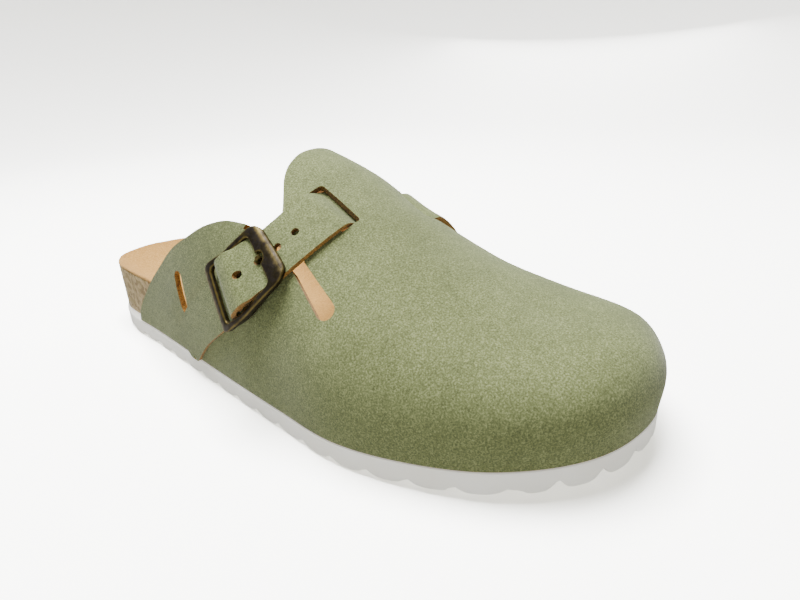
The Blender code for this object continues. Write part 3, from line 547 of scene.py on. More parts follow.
def settled(piece, angle=40):
    """Applies the modifiers of a piece and shades it smooth up to this angle."""
    graph = bpy.context.evaluated_depsgraph_get()
    graph.update()
    done = bpy.data.meshes.new_from_object(piece.evaluated_get(graph))
    piece.modifiers.clear()
    piece.data = done
    done.shade_smooth()
    done.set_sharp_from_angle(angle=math.radians(angle))
    print(piece.name, len(done.polygons), "faces")
    return piece


def cut_with(piece, cutter):
    """Cuts a helper out of a piece. The new faces keep the helper's material."""
    hole = piece.modifiers.new(cutter.name, "BOOLEAN")
    hole.operation = "DIFFERENCE"
    hole.solver = "EXACT"
    hole.material_mode = "TRANSFER"
    hole.object = cutter


def cutter_of(name, low, high, material):
    """A closed helper between two rings of points, hidden in the render."""
    form = bmesh.new()
    ring = [form.verts.new(spot) for spot in np.asarray(low) + STAND]
    floor = form.faces.new(ring)
    lifted = bmesh.ops.extrude_face_region(form, geom=[floor])["geom"]
    tops = [item for item in lifted if isinstance(item, bmesh.types.BMVert)]
    for vert in tops:
        near = np.linalg.norm(np.asarray(low) + STAND - np.array(vert.co), axis=1).argmin()
        vert.co = (np.asarray(high) + STAND)[near]
    if not floor.is_valid:
        form.faces.new(ring)
    bmesh.ops.recalc_face_normals(form, faces=form.faces)
    mesh = bpy.data.meshes.new(name)
    form.to_mesh(mesh)
    form.free()
    helper = bpy.data.objects.new(name, mesh)
    mesh.materials.append(material)
    bpy.context.scene.collection.objects.link(helper)
    helper.hide_render = True
    return helper


HELPERS = []

# %% [markdown]
# Colours are given as sRGB hex values, as a colour picker shows them, and one function
# turns them to the linear values that the shader works in. Another adds a node with its
# settings and links, so that each material reads as a list of its layers.

# %% Colour and node helpers
def linear(code, alpha=1.0):
    """An sRGB hex colour as linear values."""
    parts = [int(code[k : k + 2], 16) / 255 for k in (1, 3, 5)]
    return (*[p / 12.92 if p <= 0.04045 else ((p + 0.055) / 1.055) ** 2.4 for p in parts], alpha)


def add_node(tree, kind, inputs=(), **settings):
    """Adds a node. Inputs are (socket, value or output socket to link)."""
    node = tree.nodes.new("ShaderNode" + kind)
    for name, value in settings.items():
        setattr(node, name, value)
    for socket, value in inputs:
        if isinstance(value, bpy.types.NodeSocket):
            tree.links.new(value, node.inputs[socket])
        else:
            node.inputs[socket].default_value = value
    return node


def new_material(name, roughness, **sockets):
    """A Principled material with its constant values on its own sockets."""
    material = bpy.data.materials.new(name)
    material.use_nodes = True
    shader = material.node_tree.nodes["Principled BSDF"]
    shader.inputs["Roughness"].default_value = roughness
    for socket, value in sockets.items():
        shader.inputs[socket.replace("_", " ")].default_value = value
    return material, material.node_tree, shader


def millimetres(size):
    """Noise scale whose features are about this many millimetres wide."""
    return 1000.0 / size


def ramp(tree, factor, stops):
    """A colour ramp from (place, hex colour) stops."""
    node = add_node(tree, "ValToRGB", [("Fac", factor)])
    bar = node.color_ramp
    while len(bar.elements) < len(stops):
        bar.elements.new(0.5)
    for element, (place, code) in zip(bar.elements, stops):
        element.position = place
        element.color = linear(code)
    return node.outputs["Color"]


# %% [markdown]
# The upper is nubuck-like microfibre: a suede whose short fibres are brushed flat and
# printed with a fine grain. It scatters light softly, so it is rough with a little
# sheen, and its green is mottled where the nap lies to one side or the other. The
# finest grain is set to 0.55 mm, and it still comes out softer than in the photo.

# %% Olive nubuck
def nubuck(name, dark, middle, light, grain=0.55, bump=0.8):
    material, tree, shader = new_material(name, 0.86, Sheen_Weight=0.18, Sheen_Roughness=0.45)
    shader.inputs["Specular IOR Level"].default_value = 0.28
    place = add_node(tree, "TexCoord").outputs["Object"]
    nap = add_node(tree, "TexNoise", [("Vector", place), ("Scale", millimetres(26)),
                                      ("Detail", 4.0), ("Roughness", 0.6)])
    fibre = add_node(tree, "TexNoise", [("Vector", place), ("Scale", millimetres(3.2)),
                                        ("Detail", 5.0), ("Roughness", 0.7)])
    pebble = add_node(tree, "TexNoise", [("Vector", place), ("Scale", millimetres(grain)),
                                         ("Detail", 3.0), ("Roughness", 0.65)])
    both = add_node(tree, "Mix", [("Factor", 0.45), ("A", nap.outputs["Fac"]),
                                  ("B", fibre.outputs["Fac"])], data_type="FLOAT")
    mixed = add_node(tree, "Mix", [("Factor", 0.72), ("A", both.outputs[0]),
                                   ("B", pebble.outputs["Fac"])], data_type="FLOAT")
    colour = ramp(tree, mixed.outputs[0], ((0.34, dark), (0.5, middle), (0.66, light)))
    tree.links.new(colour, shader.inputs["Base Color"])
    relief = add_node(tree, "Bump", [("Strength", bump), ("Distance", 0.00016),
                                     ("Height", pebble.outputs["Fac"])])
    tree.links.new(relief.outputs["Normal"], shader.inputs["Normal"])
    return material


olive_nubuck = nubuck("olive_nubuck_brushed", "#4b5231", "#6d7549", "#99a170")

# %% [markdown]
# Inside, the upper and the back of the strap show their pale undyed side, and the
# footbed is covered with suede of the same kind: a warm beige with a felt-like nap. The
# cut edges are a darker tan, because the knife lays the dyed fibres open.

# %% Suede linings and cut edges
lining_suede = nubuck("beige_suede_brushed", "#a97d3e", "#c0924c", "#d2a762", 0.7, 0.3)
inner_suede = nubuck("tan_suede_inner", "#a4865f", "#bd9f7a", "#d0b592", 0.7, 0.3)
cut_edge = nubuck("tan_cut_edge", "#4c3418", "#946a2c", "#b98d48", 0.5, 0.5)
slot_edge = nubuck("dark_cut_edge", "#1c160c", "#6a4d20", "#a37b3c", 0.5, 0.5)

# %% [markdown]
# Cork is made of bark granules pressed with latex. Cell noise gives the granules, each
# with a brown of its own, and a second, finer noise the pores between them. The side is
# sealed with a thin coat, so it shines a little more than raw cork.

# %% Pressed cork
def pressed_cork():
    material, tree, shader = new_material("pressed_cork_sealed", 0.62)
    place = add_node(tree, "TexCoord").outputs["Object"]
    granule = add_node(tree, "TexVoronoi", [("Vector", place), ("Scale", millimetres(2.2)),
                                            ("Randomness", 1.0)])
    split = add_node(tree, "SeparateColor", [("Color", granule.outputs["Color"])])
    blot = add_node(tree, "TexNoise", [("Vector", place), ("Scale", millimetres(5.0)),
                                       ("Detail", 6.0), ("Roughness", 0.7)])
    both = add_node(tree, "Mix", [("Factor", 0.55), ("A", split.outputs[0]),
                                  ("B", blot.outputs["Fac"])], data_type="FLOAT")
    colour = ramp(tree, both.outputs[0], ((0.18, "#6f5833"), (0.42, "#948054"),
                                          (0.62, "#a99369"), (0.85, "#bfa97b")))
    tree.links.new(colour, shader.inputs["Base Color"])
    relief = add_node(tree, "Bump", [("Strength", 0.5), ("Distance", 0.0002),
                                     ("Height", granule.outputs["Distance"])])
    tree.links.new(relief.outputs["Normal"], shader.inputs["Normal"])
    return material


cork = pressed_cork()

# %% [markdown]
# The outsole is white EVA foam, moulded against a blasted steel mould. Its skin is
# matt, and slightly pebbled at under a millimetre.

# %% White foam
def moulded_foam():
    material, tree, shader = new_material("white_eva_moulded", 0.5)
    shader.inputs["Subsurface Weight"].default_value = 0.08
    shader.inputs["Subsurface Radius"].default_value = (0.004, 0.004, 0.003)
    place = add_node(tree, "TexCoord").outputs["Object"]
    cloud = add_node(tree, "TexNoise", [("Vector", place), ("Scale", millimetres(12)),
                                        ("Detail", 4.0)])
    skin_grain = add_node(tree, "TexNoise", [("Vector", place), ("Scale", millimetres(0.8)),
                                             ("Detail", 3.0)])
    colour = ramp(tree, cloud.outputs["Fac"], ((0.3, "#f3f1e8"), (0.7, "#fbfaf4")))
    tree.links.new(colour, shader.inputs["Base Color"])
    # A faint glow of its own stands in for light that scatters deep in the foam, because
    # the shaded side came out too grey without it. In a dark scene, set it to 0.
    tree.links.new(colour, shader.inputs["Emission Color"])
    shader.inputs["Emission Strength"].default_value = 0.24
    relief = add_node(tree, "Bump", [("Strength", 0.3), ("Distance", 0.0001),
                                     ("Height", skin_grain.outputs["Fac"])])
    tree.links.new(relief.outputs["Normal"], shader.inputs["Normal"])
    return material


white_foam = moulded_foam()

# %% [markdown]
# The buckle is a zinc casting, plated with brass, darkened in a bath and tumbled. The
# dark stays in the hollows and the brass comes through on the edges. An attribute named
# wear, 1 along the edges, is painted on the mesh, and noise breaks it up.

# %% Antique brass
def antique_brass():
    material, tree, shader = new_material("antique_brass_tumbled", 0.45, Metallic=0.85)
    place = add_node(tree, "TexCoord").outputs["Object"]
    blot = add_node(tree, "TexNoise", [("Vector", place), ("Scale", millimetres(4.5)),
                                       ("Detail", 5.0), ("Roughness", 0.65)])
    speck = add_node(tree, "TexNoise", [("Vector", place), ("Scale", millimetres(0.9)),
                                        ("Detail", 3.0)])
    dark = ramp(tree, blot.outputs["Fac"], ((0.32, "#241d18"), (0.44, "#322c1b"),
                                            (0.56, "#352f2c"), (0.70, "#463f20")))
    wear = add_node(tree, "Attribute", attribute_name="wear").outputs["Fac"]
    broken = add_node(tree, "Math", [(0, wear), (1, blot.outputs["Fac"])], operation="MULTIPLY")
    edge_mask = ramp(tree, broken.outputs[0], ((0.25, "#000000"), (0.55, "#ffffff")))
    colour = add_node(tree, "Mix", [("Factor", edge_mask), ("A", dark),
                                    ("B", linear("#6b5e33"))], data_type="RGBA")
    tree.links.new(colour.outputs[2], shader.inputs["Base Color"])
    rough = add_node(tree, "MapRange", [("Value", speck.outputs["Fac"]), ("To Min", 0.34),
                                        ("To Max", 0.62)])
    tree.links.new(rough.outputs["Result"], shader.inputs["Roughness"])
    relief = add_node(tree, "Bump", [("Strength", 0.25), ("Distance", 0.0001),
                                     ("Height", speck.outputs["Fac"])])
    tree.links.new(relief.outputs["Normal"], shader.inputs["Normal"])
    return material


brass = antique_brass()

# %% [markdown]
# The outsole is a loft of sections from heel to toe: flat below, a rounded lower edge,
# an upright side and a flat top. Its tread is cut with bent round bars. Towards each
# groove the lower edge rounds up, which gives the scalloped line of the photo.

# %% Outsole
FIRST_GROOVE = 0.95  # its place behind the heel's end, in pitches
GROOVE_BEND = 0.22  # how far a groove bends back at the sole's edge, in pitches
GROOVE_COUNT = int(LENGTH * 0.93 / TREAD_PITCH)
LUG_ROUND = 0.0024  # how far the lower edge rounds up at a groove
NOTCH_DEEP = 0.0016  # what the notches round the toe add to it
NOTCH_HALF = 0.0022


def sole_section():
    """One turn round a section: (across, inset, height over the ground)."""
    turn = np.linspace(0, math.pi / 2, 5)
    low = [(1.0, EDGE_ROUND * (1 - math.sin(t)), EDGE_ROUND * (1 - math.cos(t))) for t in turn]
    small = 0.6 * EDGE_ROUND
    top = [(1.0, small * (1 - math.cos(t)), SOLE_THICK - small * (1 - math.sin(t))) for t in turn]
    wall = [(1.0, 0.0, SOLE_THICK * share) for share in (0.3, 0.5, 0.7)]
    inner = np.sin(np.linspace(-0.47, 0.47, 16) * math.pi)
    half = low + wall + top
    rows = [(a, EDGE_ROUND, 0.0) for a in inner]
    rows += half
    rows += [(a, small, SOLE_THICK) for a in inner[::-1]]
    rows += [(-a, inset, height) for a, inset, height in half[::-1]]
    return np.array(rows)


SOLE_ROWS = sole_section()


def notch_phase(sign):
    """(way, notches passed): the tread's pitch along the side, then round the toe."""
    ways = np.linspace(0, 1, 600)
    rim = edge(ways, sign, np.zeros(600))
    phase = (0.5 * LENGTH - rim[:, 1]) / TREAD_PITCH - FIRST_GROOVE + GROOVE_BEND
    run = np.concatenate([[0], np.cumsum(np.linalg.norm(np.diff(rim, axis=0), axis=1))])
    last = int(np.argmin(np.abs(phase - LAST_GROOVE)))
    round_toe = LAST_GROOVE + (run - run[last]) / TREAD_PITCH
    return ways, np.where(ways > ways[last], round_toe, phase)


LAST_GROOVE = GROOVE_COUNT - 1
PHASES = {sign: notch_phase(sign) for sign in (-1, 1)}


def on_sole(u, v):
    count = len(SOLE_ROWS)
    row = SOLE_ROWS[np.round(v * count).astype(int) % count]
    way = (1 - np.cos(u * math.pi)) / 2 * 0.35 + u * 0.65
    flat = across_sole(way, row[:, 0], row[:, 1])
    # The lugs round up towards the grooves between them at the sole's edge.
    phase = np.where(row[:, 0] < 0, np.interp(way, *PHASES[-1]), np.interp(way, *PHASES[1]))
    share = phase - np.floor(phase)
    gap = np.minimum(share, 1 - share) * TREAD_PITCH
    rounding = LUG_ROUND * np.abs(2 * share - 1) ** 3
    # Round the toe, past the last groove, the notches are in the rim alone.
    past = np.clip((phase - LAST_GROOVE - 0.4) / 0.2, 0, 1)
    rounding += NOTCH_DEEP * past * np.exp(-((gap / NOTCH_HALF) ** 2))
    rounding *= np.clip(1 - row[:, 2] / (0.62 * SOLE_THICK), 0, 1)
    rounding *= np.clip((np.abs(row[:, 0]) - 0.86) / 0.1, 0, 1)
    rounding *= np.clip(np.minimum(way, 1 - way) / 0.0015, 0, 1)
    return np.column_stack([flat, ground(flat[:, 1]) + row[:, 2] + rounding])


form = bmesh.new()
laid_grid(form, 320, len(SOLE_ROWS), on_sole)
merged(form, 8e-5)
outsole_foam = piece_of("outsole_foam", form, [white_foam])
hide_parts("outsole")

groove = bmesh.new()
for k in range(GROOVE_COUNT):
    y = LENGTH / 2 - (k + FIRST_GROOVE) * TREAD_PITCH

    def bar(u, v, y=y):
        x = (u - 0.5) * 2.4 * BALL_HALF
        bend = GROOVE_BEND * TREAD_PITCH * np.clip((np.abs(x) - 0.0206) / 0.0206 * 2 - 1, -1, 1)
        turn = v * 2 * math.pi
        py = y + bend + GROOVE_RADIUS * np.cos(turn) * 1.25
        return np.column_stack([x, py, float(ground(y)) + GROOVE_RADIUS * np.sin(turn)])

    laid_grid(groove, 18, 16, bar)
bmesh.ops.remove_doubles(groove, verts=groove.verts, dist=1e-5)
bmesh.ops.holes_fill(groove, edges=groove.edges, sides=0)
bmesh.ops.recalc_face_normals(groove, faces=groove.faces)
print("open edges of the bars", sum(not item.is_manifold for item in groove.edges))
mesh = bpy.data.meshes.new("tread_bars")
groove.to_mesh(mesh)
groove.free()
tread_bars = bpy.data.objects.new("tread_bars", mesh)
mesh.materials.append(white_foam)
bpy.context.scene.collection.objects.link(tread_bars)
tread_bars.hide_render = True
HELPERS.append(tread_bars)
cut_with(outsole_foam, tread_bars)
settled(outsole_foam, 35)
# The cut leaves slits in the flat underside. Close corners are merged and slits filled.
form = bmesh.new()
form.from_mesh(outsole_foam.data)
bmesh.ops.remove_doubles(form, verts=form.verts, dist=4e-6)
rims = [item for item in form.edges if item.is_boundary]
bmesh.ops.holes_fill(form, edges=rims, sides=0)
rest = [item for item in form.edges if item.is_boundary]
bmesh.ops.triangle_fill(form, edges=rest, use_beauty=True)
bmesh.ops.recalc_face_normals(form, faces=form.faces)
print("slits closed", len(rims), "left", sum(not item.is_manifold for item in form.edges))
form.to_mesh(outsole_foam.data)
form.free()

# %% [markdown]
# The footbed is a cork block with a deep heel cup, a raised arch and a toe bed. Its side
# shows at the heel. The suede sheet on it is glued down and trimmed flush at the rim.

# %% Footbed and its suede
def bed_section(low, high, rows_across=40):
    """A closed section: the underside, the side and the shaped top."""
    turn = np.linspace(0, math.pi / 2, 4)
    soft = 0.0005
    across = np.sin(np.linspace(-0.97, 0.97, rows_across) * math.pi / 2)
    side = [(1.0, soft * (1 - math.cos(t)), -soft * (1 - math.sin(t)), 1.0) for t in turn]
    rows = [(a, 0.0, low, 0.0) for a in across]
    rows += [(1.0, 0.0, low, 0.0)]
    rows += [(a, inset, high + drop, 1.0) for a, inset, drop, _ in side]
    rows += [(a, soft, high, 1.0) for a in across[::-1]]
    rows += [(-a, inset, high + drop, 1.0) for a, inset, drop, _ in side[::-1]]
    rows += [(-1.0, 0.0, low, 0.0)]
    return np.array(rows)


def bed_piece(name, low, high, follow_low, materials):
    """low and high are heights over the cork's top, or over the outsole for low."""
    rows = bed_section(low, high)

    def place(u, v):
        row = rows[np.round(v * len(rows)).astype(int) % len(rows)]
        way = (1 - np.cos(u * math.pi)) / 2 * 0.35 + u * 0.65
        flat = across_sole(way, row[:, 0], footbed_inset(way) + row[:, 1])
        shape = bed_height(way, row[:, 0], flat)
        shape = np.where((row[:, 3] > 0.5) | follow_low, shape, 0.0)
        return np.column_stack([flat, seat(flat[:, 1]) + shape + row[:, 2]])

    form = bmesh.new()
    laid_grid(form, 120, len(rows), place)
    merged(form)
    piece = piece_of(name, form, materials)
    return settled(piece, 50)


cork_bed = bed_piece("cork_bed", 0.0, 0.0, False, [cork])
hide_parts("footbed")
bed_suede = bed_piece("bed_suede", CLEAR, CLEAR + LINING_THICK, True, [lining_suede])
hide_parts("insole")

# %% [markdown]
# The upper is one piece of nubuck, pulled over the last and glued under the footbed. It
# is laid out as three grids, two quarters and the front, whose borders are merged. The
# soft troughs and ridges that wear and lasting leave are moved in one by one, each given
# by its two ends, its width and its depth in millimetres, before the wall gets its
# thickness. The slit, the slots and the plain window are cut through the wall last.

# %% Creases of the upper
CREASES = (
    # (way, side) of the start, (way, side) of the end, width mm, depth mm
    ((0.632, -0.56), (0.690, -0.30), 9.0, -0.35),
    ((0.600, -0.20), (0.640, 0.30), 10.0, 0.35),
    ((0.560, -0.12), (0.545, 0.12), 6.0, -0.45),
    ((0.520, -0.30), (0.560, -0.26), 5.0, 0.25),
    ((0.660, -0.10), (0.720, 0.35), 13.0, -0.45),
    ((0.700, -0.62), (0.760, -0.25), 14.0, -0.35),
    ((0.640, 0.45), (0.700, 0.72), 12.0, -0.40),
    ((0.300, -0.90), (0.340, -0.80), 8.0, 0.25),
    ((0.450, -0.86), (0.560, -0.80), 12.0, -0.30),
)


def crease_lift(way, side):
    """Height that the creases add, from the distance to each of them on the form."""
    spot = last_point(way, side)
    lift = np.zeros(len(spot))
    for start, end, width, depth in CREASES:
        a = last_point(*map(np.float64, start))
        b = last_point(*map(np.float64, end))
        share = np.clip((spot - a) @ (b - a) / ((b - a) @ (b - a)), 0, 1)
        gap = np.linalg.norm(spot - a - share[:, None] * (b - a), axis=1) * 1000
        fade = np.sin(math.pi * (0.15 + 0.7 * share)) ** 0.5
        lift += depth / 1000 * fade * np.exp(-((gap / width) ** 2) * 2)
    return lift


# %% The three grids of the upper
LOW_SIDE = TONGUE_EDGE[0][0]
HIGH_SIDE = TONGUE_EDGE[-1][0]
# The rows are the same on both sides of the crest, so that they meet at the toe.
SIDE_KNOTS = (-1, LOW_SIDE, -HIGH_SIDE, HIGH_SIDE, -LOW_SIDE, 1)
SIDE_ROWS = (0, 28, 44, 58, 74, 102)
QUARTER_COLUMNS = 52


def quarter(table, sign, rows):
    def place(u, v):
        foot = table[0][0] + (COLLAR_WAY - table[0][0]) * u
        top = eased(table, foot)
        share = v
        if sign > 0:
            share = (1 - np.interp(102 - v * rows, SIDE_ROWS, SIDE_KNOTS)) / (1 - HIGH_SIDE)
        way = foot + (top[:, 0] - foot) * share
        side = sign + (top[:, 1] - sign) * share
        return skin(way, side, crease_lift(way, side))

    return place


def front(u, v):
    side = np.interp(v * SIDE_ROWS[-1], SIDE_ROWS, SIDE_KNOTS)
    way = COLLAR_WAY + (1 - COLLAR_WAY) * u
    fade = np.clip(1 - (way - COLLAR_WAY) / LEAN_OUT, 0, None)
    low_shift = LATERAL_TOP[-1][1] - COLLAR_WAY
    high_shift = MEDIAL_TOP[-1][1] - COLLAR_WAY
    near = np.clip((side - LOW_SIDE) / 0.03, 0, 1)
    tongue = eased(TONGUE_EDGE, np.clip(side, LOW_SIDE, HIGH_SIDE))[:, 0] - COLLAR_WAY
    shift = low_shift * (1 - near) + tongue * near
    shift = np.where(side < LOW_SIDE, low_shift * (1 + side) / (1 + LOW_SIDE), shift)
    shift = np.where(side > HIGH_SIDE, high_shift * (1 - side) / (1 - HIGH_SIDE), shift)
    way = way + shift * fade
    return skin(way, side, crease_lift(way, side))


form = bmesh.new()
laid_grid(form, QUARTER_COLUMNS, 28, quarter(LATERAL_TOP, -1, 28))
laid_grid(form, QUARTER_COLUMNS, 44, quarter(MEDIAL_TOP, 1, 44))
laid_grid(form, 84, 102, front)
merged(form, 5e-5)
turned(form, last_point(0.7, -0.5), (-1, 0, 1))
upper_shell = piece_of("upper_shell", form, [olive_nubuck, inner_suede, cut_edge])
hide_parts("upper")
wall = upper_shell.modifiers.new("wall", "SOLIDIFY")
wall.thickness = WALL
wall.offset = -1.0
wall.use_even_offset = True
wall.material_offset = 1
wall.material_offset_rim = 2

# %% Cuts through the upper
def frame_at(way, side, heading):
    """Middle, run, sideways and outward directions of a flat helper on the upper."""
    way, side = np.float64(way), np.float64(side)
    middle = skin(way, side, 0.0)
    out = skin(way, side, WALL) - middle
    out /= np.linalg.norm(out)
    run = heading - out * (heading @ out)
    run /= np.linalg.norm(run)
    return middle, run, np.cross(out, run), out


def flat_cutter(name, table, ring_of, deep, material):
    """Helper with the outline that ring_of gives in its own plane on the upper."""
    ends = [skin(np.float64(row[0]), np.float64(row[1]), 0.0) for row in table]
    mean = np.mean(np.array(table), axis=0)
    middle, run, sideways, out = frame_at(mean[0], mean[1], ends[-1] - ends[0])
    flat = np.array([((p - middle) @ run, (p - middle) @ sideways) for p in ends])
    ring = ring_of(flat)
    ring = middle + ring[:, :1] * run + ring[:, 1:] * sideways
    return cutter_of(name, ring - out * deep, ring + out * deep, material)


def slit_ring(flat):
    half = np.array([row[2] for row in SLIT]) * SLIT_WIDE / 2
    turn = np.linspace(-math.pi / 2, math.pi / 2, 17)
    last = flat[-1] - [half[-1], 0]
    cap = last + half[-1] * np.stack([np.cos(turn), np.sin(turn)], 1)
    lower = flat[:-1] - np.stack([0 * half[:-1], half[:-1]], 1)
    higher = flat[:-1] + np.stack([0 * half[:-1], half[:-1]], 1)
    return np.concatenate([lower, cap, higher[::-1]])


def window_ring(flat):
    radius = BADGE_WIDE / 2
    straight = BADGE_LONG / 2 - radius
    turn = np.linspace(-math.pi / 2, math.pi / 2, 17)
    right = np.stack([straight + radius * np.cos(turn), radius * np.sin(turn)], 1)
    return np.concatenate([right, -right])


def slot_cutter(name, far):
    """Helper for a slot of the strap, with rounded corners, along the form."""
    radius = 0.0012
    half = STRAP_WIDE / 2 + 0.4 * SLOT_SIDE
    ring = []
    for k, (sf, sa) in enumerate(((1, 1), (0, 1), (0, -1), (1, -1))):
        cf = far[0] + (far[1] - far[0]) * sf - radius * (2 * sf - 1)
        ca = sa * (half - radius)
        for t in np.linspace(k, k + 1, 5) * math.pi / 2:
            ring.append((cf + radius * math.cos(t), ca + radius * math.sin(t)))
        after = ((0, 1), (0, -1), (1, -1), (1, 1))[k]
        nf = far[0] + (far[1] - far[0]) * after[0] - radius * (2 * after[0] - 1)
        na = after[1] * (half - radius)
        turn = (k + 1) * math.pi / 2
        step = np.array([radius * math.cos(turn), radius * math.sin(turn)])
        for share in np.linspace(0, 1, 8)[1:-1]:
            ring.append(np.array([cf + (nf - cf) * share, ca + (na - ca) * share]) + step)
    ring = np.array(ring)
    low = band_point(ring[:, 0], ring[:, 1], np.full(len(ring), -3 * WALL))
    high = band_point(ring[:, 0], ring[:, 1], np.full(len(ring), 2 * WALL))
    return cutter_of(name, low, high, slot_edge)


HELPERS.append(flat_cutter("slit_knife", SLIT, slit_ring, 4 * WALL, cut_edge))
HELPERS.append(flat_cutter("window_knife", BADGE, window_ring, 3 * WALL, cut_edge))
HELPERS.append(slot_cutter("front_slot_knife", (0.0, SLOT_LONG)))
HELPERS.append(slot_cutter("side_slot_knife", (-SLOT_SPAN - SLOT_LONG, -SLOT_SPAN)))
for knife in HELPERS[-4:]:
    cut_with(upper_shell, knife)
settled(upper_shell, 38)

# %% [markdown]
# The strap is a band 20 mm wide of the same nubuck. It starts at the sole on the inner
# side, dips under the crest between the two slots, and comes out over the slit to the
# buckle. It is one grid in the strap's own coordinates, its long edges a little lower
# than its middle, as a strap under pull shows, and it gets its thickness outwards.

# %% Strap
TAIL_END = strap_end()
LIFT_ROWS = strap_lift()


def on_strap(u, v):
    far = ROUTE_START + (TAIL_END - ROUTE_START) * u
    near = np.clip((far - TAIL_END + 0.006) / 0.006, 0, 1)
    low = -STRAP_WIDE / 2 * (1 - 0.12 * near**3)
    high = STRAP_WIDE / 2 * (1 - 0.42 * near**1.5)
    share = np.sin((v - 0.5) * math.pi) / 2 + 0.5
    lift = eased(LIFT_ROWS, far)[:, 0]
    return band_point(far, low + (high - low) * share, lift)


form = bmesh.new()
laid_grid(form, 220, 16, on_strap)
turned(form, band_point(FIRST_HOLE, 0.0, 0.0), (-1, 0, 1))
strap_band = piece_of("strap_band", form, [olive_nubuck, inner_suede, cut_edge])
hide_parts("strap")
wall = strap_band.modifiers.new("wall", "SOLIDIFY")
wall.thickness = STRAP_THICK
wall.offset = 1.0
wall.material_offset = 1
wall.material_offset_rim = 2
for k in range(4):
    spot = FIRST_HOLE + k * HOLE_PITCH
    height = float(eased(LIFT_ROWS, np.float64(spot))[0])
    turn = np.arange(20) * math.pi / 10
    f = spot + HOLE_RADIUS * np.cos(turn)
    a = HOLE_RADIUS * np.sin(turn)
    low = band_point(f, a, np.full(20, height - 2 * STRAP_THICK))
    high = band_point(f, a, np.full(20, height + 3 * STRAP_THICK))
    HELPERS.append(cutter_of(f"hole_punch_{k + 1}", low, high, slot_edge))
    cut_with(strap_band, HELPERS[-1])
settled(strap_band, 38)

# %% [markdown]
# The carrier tab is a shorter band, sewn in at the sole. It holds the buckle: its upper
# end is folded round the pin, with a gap in the fold that lets the prong through.

# %% Carrier tab
def tab_line(steps):
    """Middle line of the tab: flat on the upper, then round the pin."""
    far, height = pin_place()
    radius = PIN_RADIUS + CLEAR + TAB_THICK / 2
    line = [(ROUTE_END + (far - ROUTE_END) * k / steps, CLEAR + TAB_THICK / 2)
            for k in range(steps + 1)]
    for k in range(1, 24):
        turn = -math.pi / 2 - k * math.radians(10.5)
        line.append((far + radius * math.cos(turn), height + radius * math.sin(turn)))
    return np.array(line)


TAB_LINE = tab_line(40)


def on_tab(u, v):
    at = u * (len(TAB_LINE) - 1)
    step = np.gradient(TAB_LINE, axis=0)
    step /= np.linalg.norm(step, axis=1, keepdims=True)
    side = np.stack([-step[:, 1], step[:, 0]], 1) * TAB_THICK / 2
    line = TAB_LINE - side
    index = np.arange(len(line))
    far = np.interp(at, index, line[:, 0])
    height = np.interp(at, index, line[:, 1])
    share = np.clip((far - pin_place()[0]) / (ROUTE_END - pin_place()[0]), 0, 1)
    half = TAB_WIDE / 2 * (1 - 0.16 * share**2)
    return band_point(far, (2 * v - 1) * half, height)


form = bmesh.new()
laid_grid(form, len(TAB_LINE) - 1, 14, on_tab)
turned(form, band_point(0.5 * (pin_place()[0] + ROUTE_END), 0.0, 0.0), (1, 0, 0))
tab_band = piece_of("tab_band", form, [olive_nubuck, inner_suede, cut_edge])
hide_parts("carrier_tab")
wall = tab_band.modifiers.new("wall", "SOLIDIFY")
wall.thickness = TAB_THICK
wall.offset = 1.0
wall.material_offset_rim = 2
far, height = pin_place()
reach = PIN_RADIUS + 2 * PRONG_RADIUS + 2 * CLEAR
half = PRONG_RADIUS + 2 * CLEAR
span = (far - reach - TAB_THICK, far + reach + CLEAR)
corner_f = np.array([span[0], span[1], span[1], span[0]])
corner_a = np.array([-half, -half, half, half])
low = band_point(corner_f, corner_a, np.full(4, 0.0001))
high = band_point(corner_f, corner_a, np.full(4, height + reach + 2 * TAB_THICK))
HELPERS.append(cutter_of("prong_gap_knife", low, high, cut_edge))
cut_with(tab_band, HELPERS[-1])
settled(tab_band, 38)

# %% [markdown]
# The buckle frame is a closed ring with a rounded section, wide at the bar that the
# prong rests on. It is one grid rolled into a tube and then into a ring: one direction
# runs round the frame, the other round its section, a box with soft corners.

# %% Buckle frame
def frame_outline(steps):
    """(outer, inner) points round the frame in the strap's coordinates."""
    half = STRAP_WIDE / 2 + FRAME_PLAY + FRAME_SIDE
    middle = frame_start() + FRAME_LONG / 2
    rings = []
    for kind in ("outer", "inner"):
        ring = []
        for k, (sf, sa) in enumerate(((1, 1), (-1, 1), (-1, -1), (1, -1))):
            bar = 0.0
            side = 0.0
            radius = FRAME_CORNER
            if kind == "inner":
                bar = FRAME_TAIL_BAR if sf > 0 else FRAME_BAR
                side = FRAME_SIDE
                radius = FRAME_CORNER * 0.4
            cf = sf * (FRAME_LONG / 2 - bar - radius)
            ca = sa * (half - side - radius)
            for t in np.linspace(k, k + 1, steps) * math.pi / 2:
                ring.append((middle + cf + radius * math.cos(t), ca + radius * math.sin(t)))
        rings.append(np.array(ring))
    filled = []
    for ring in rings:
        out = []
        for k in range(4):
            part = ring[k * steps : (k + 1) * steps]
            after = ring[((k + 1) * steps) % len(ring)]
            out.extend(part)
            for share in np.linspace(0, 1, 14)[1:-1]:
                out.append(part[-1] + (after - part[-1]) * share)
        filled.append(np.array(out))
    return filled


FRAME_OUTER, FRAME_INNER = frame_outline(9)
SECTION_STEPS = 20


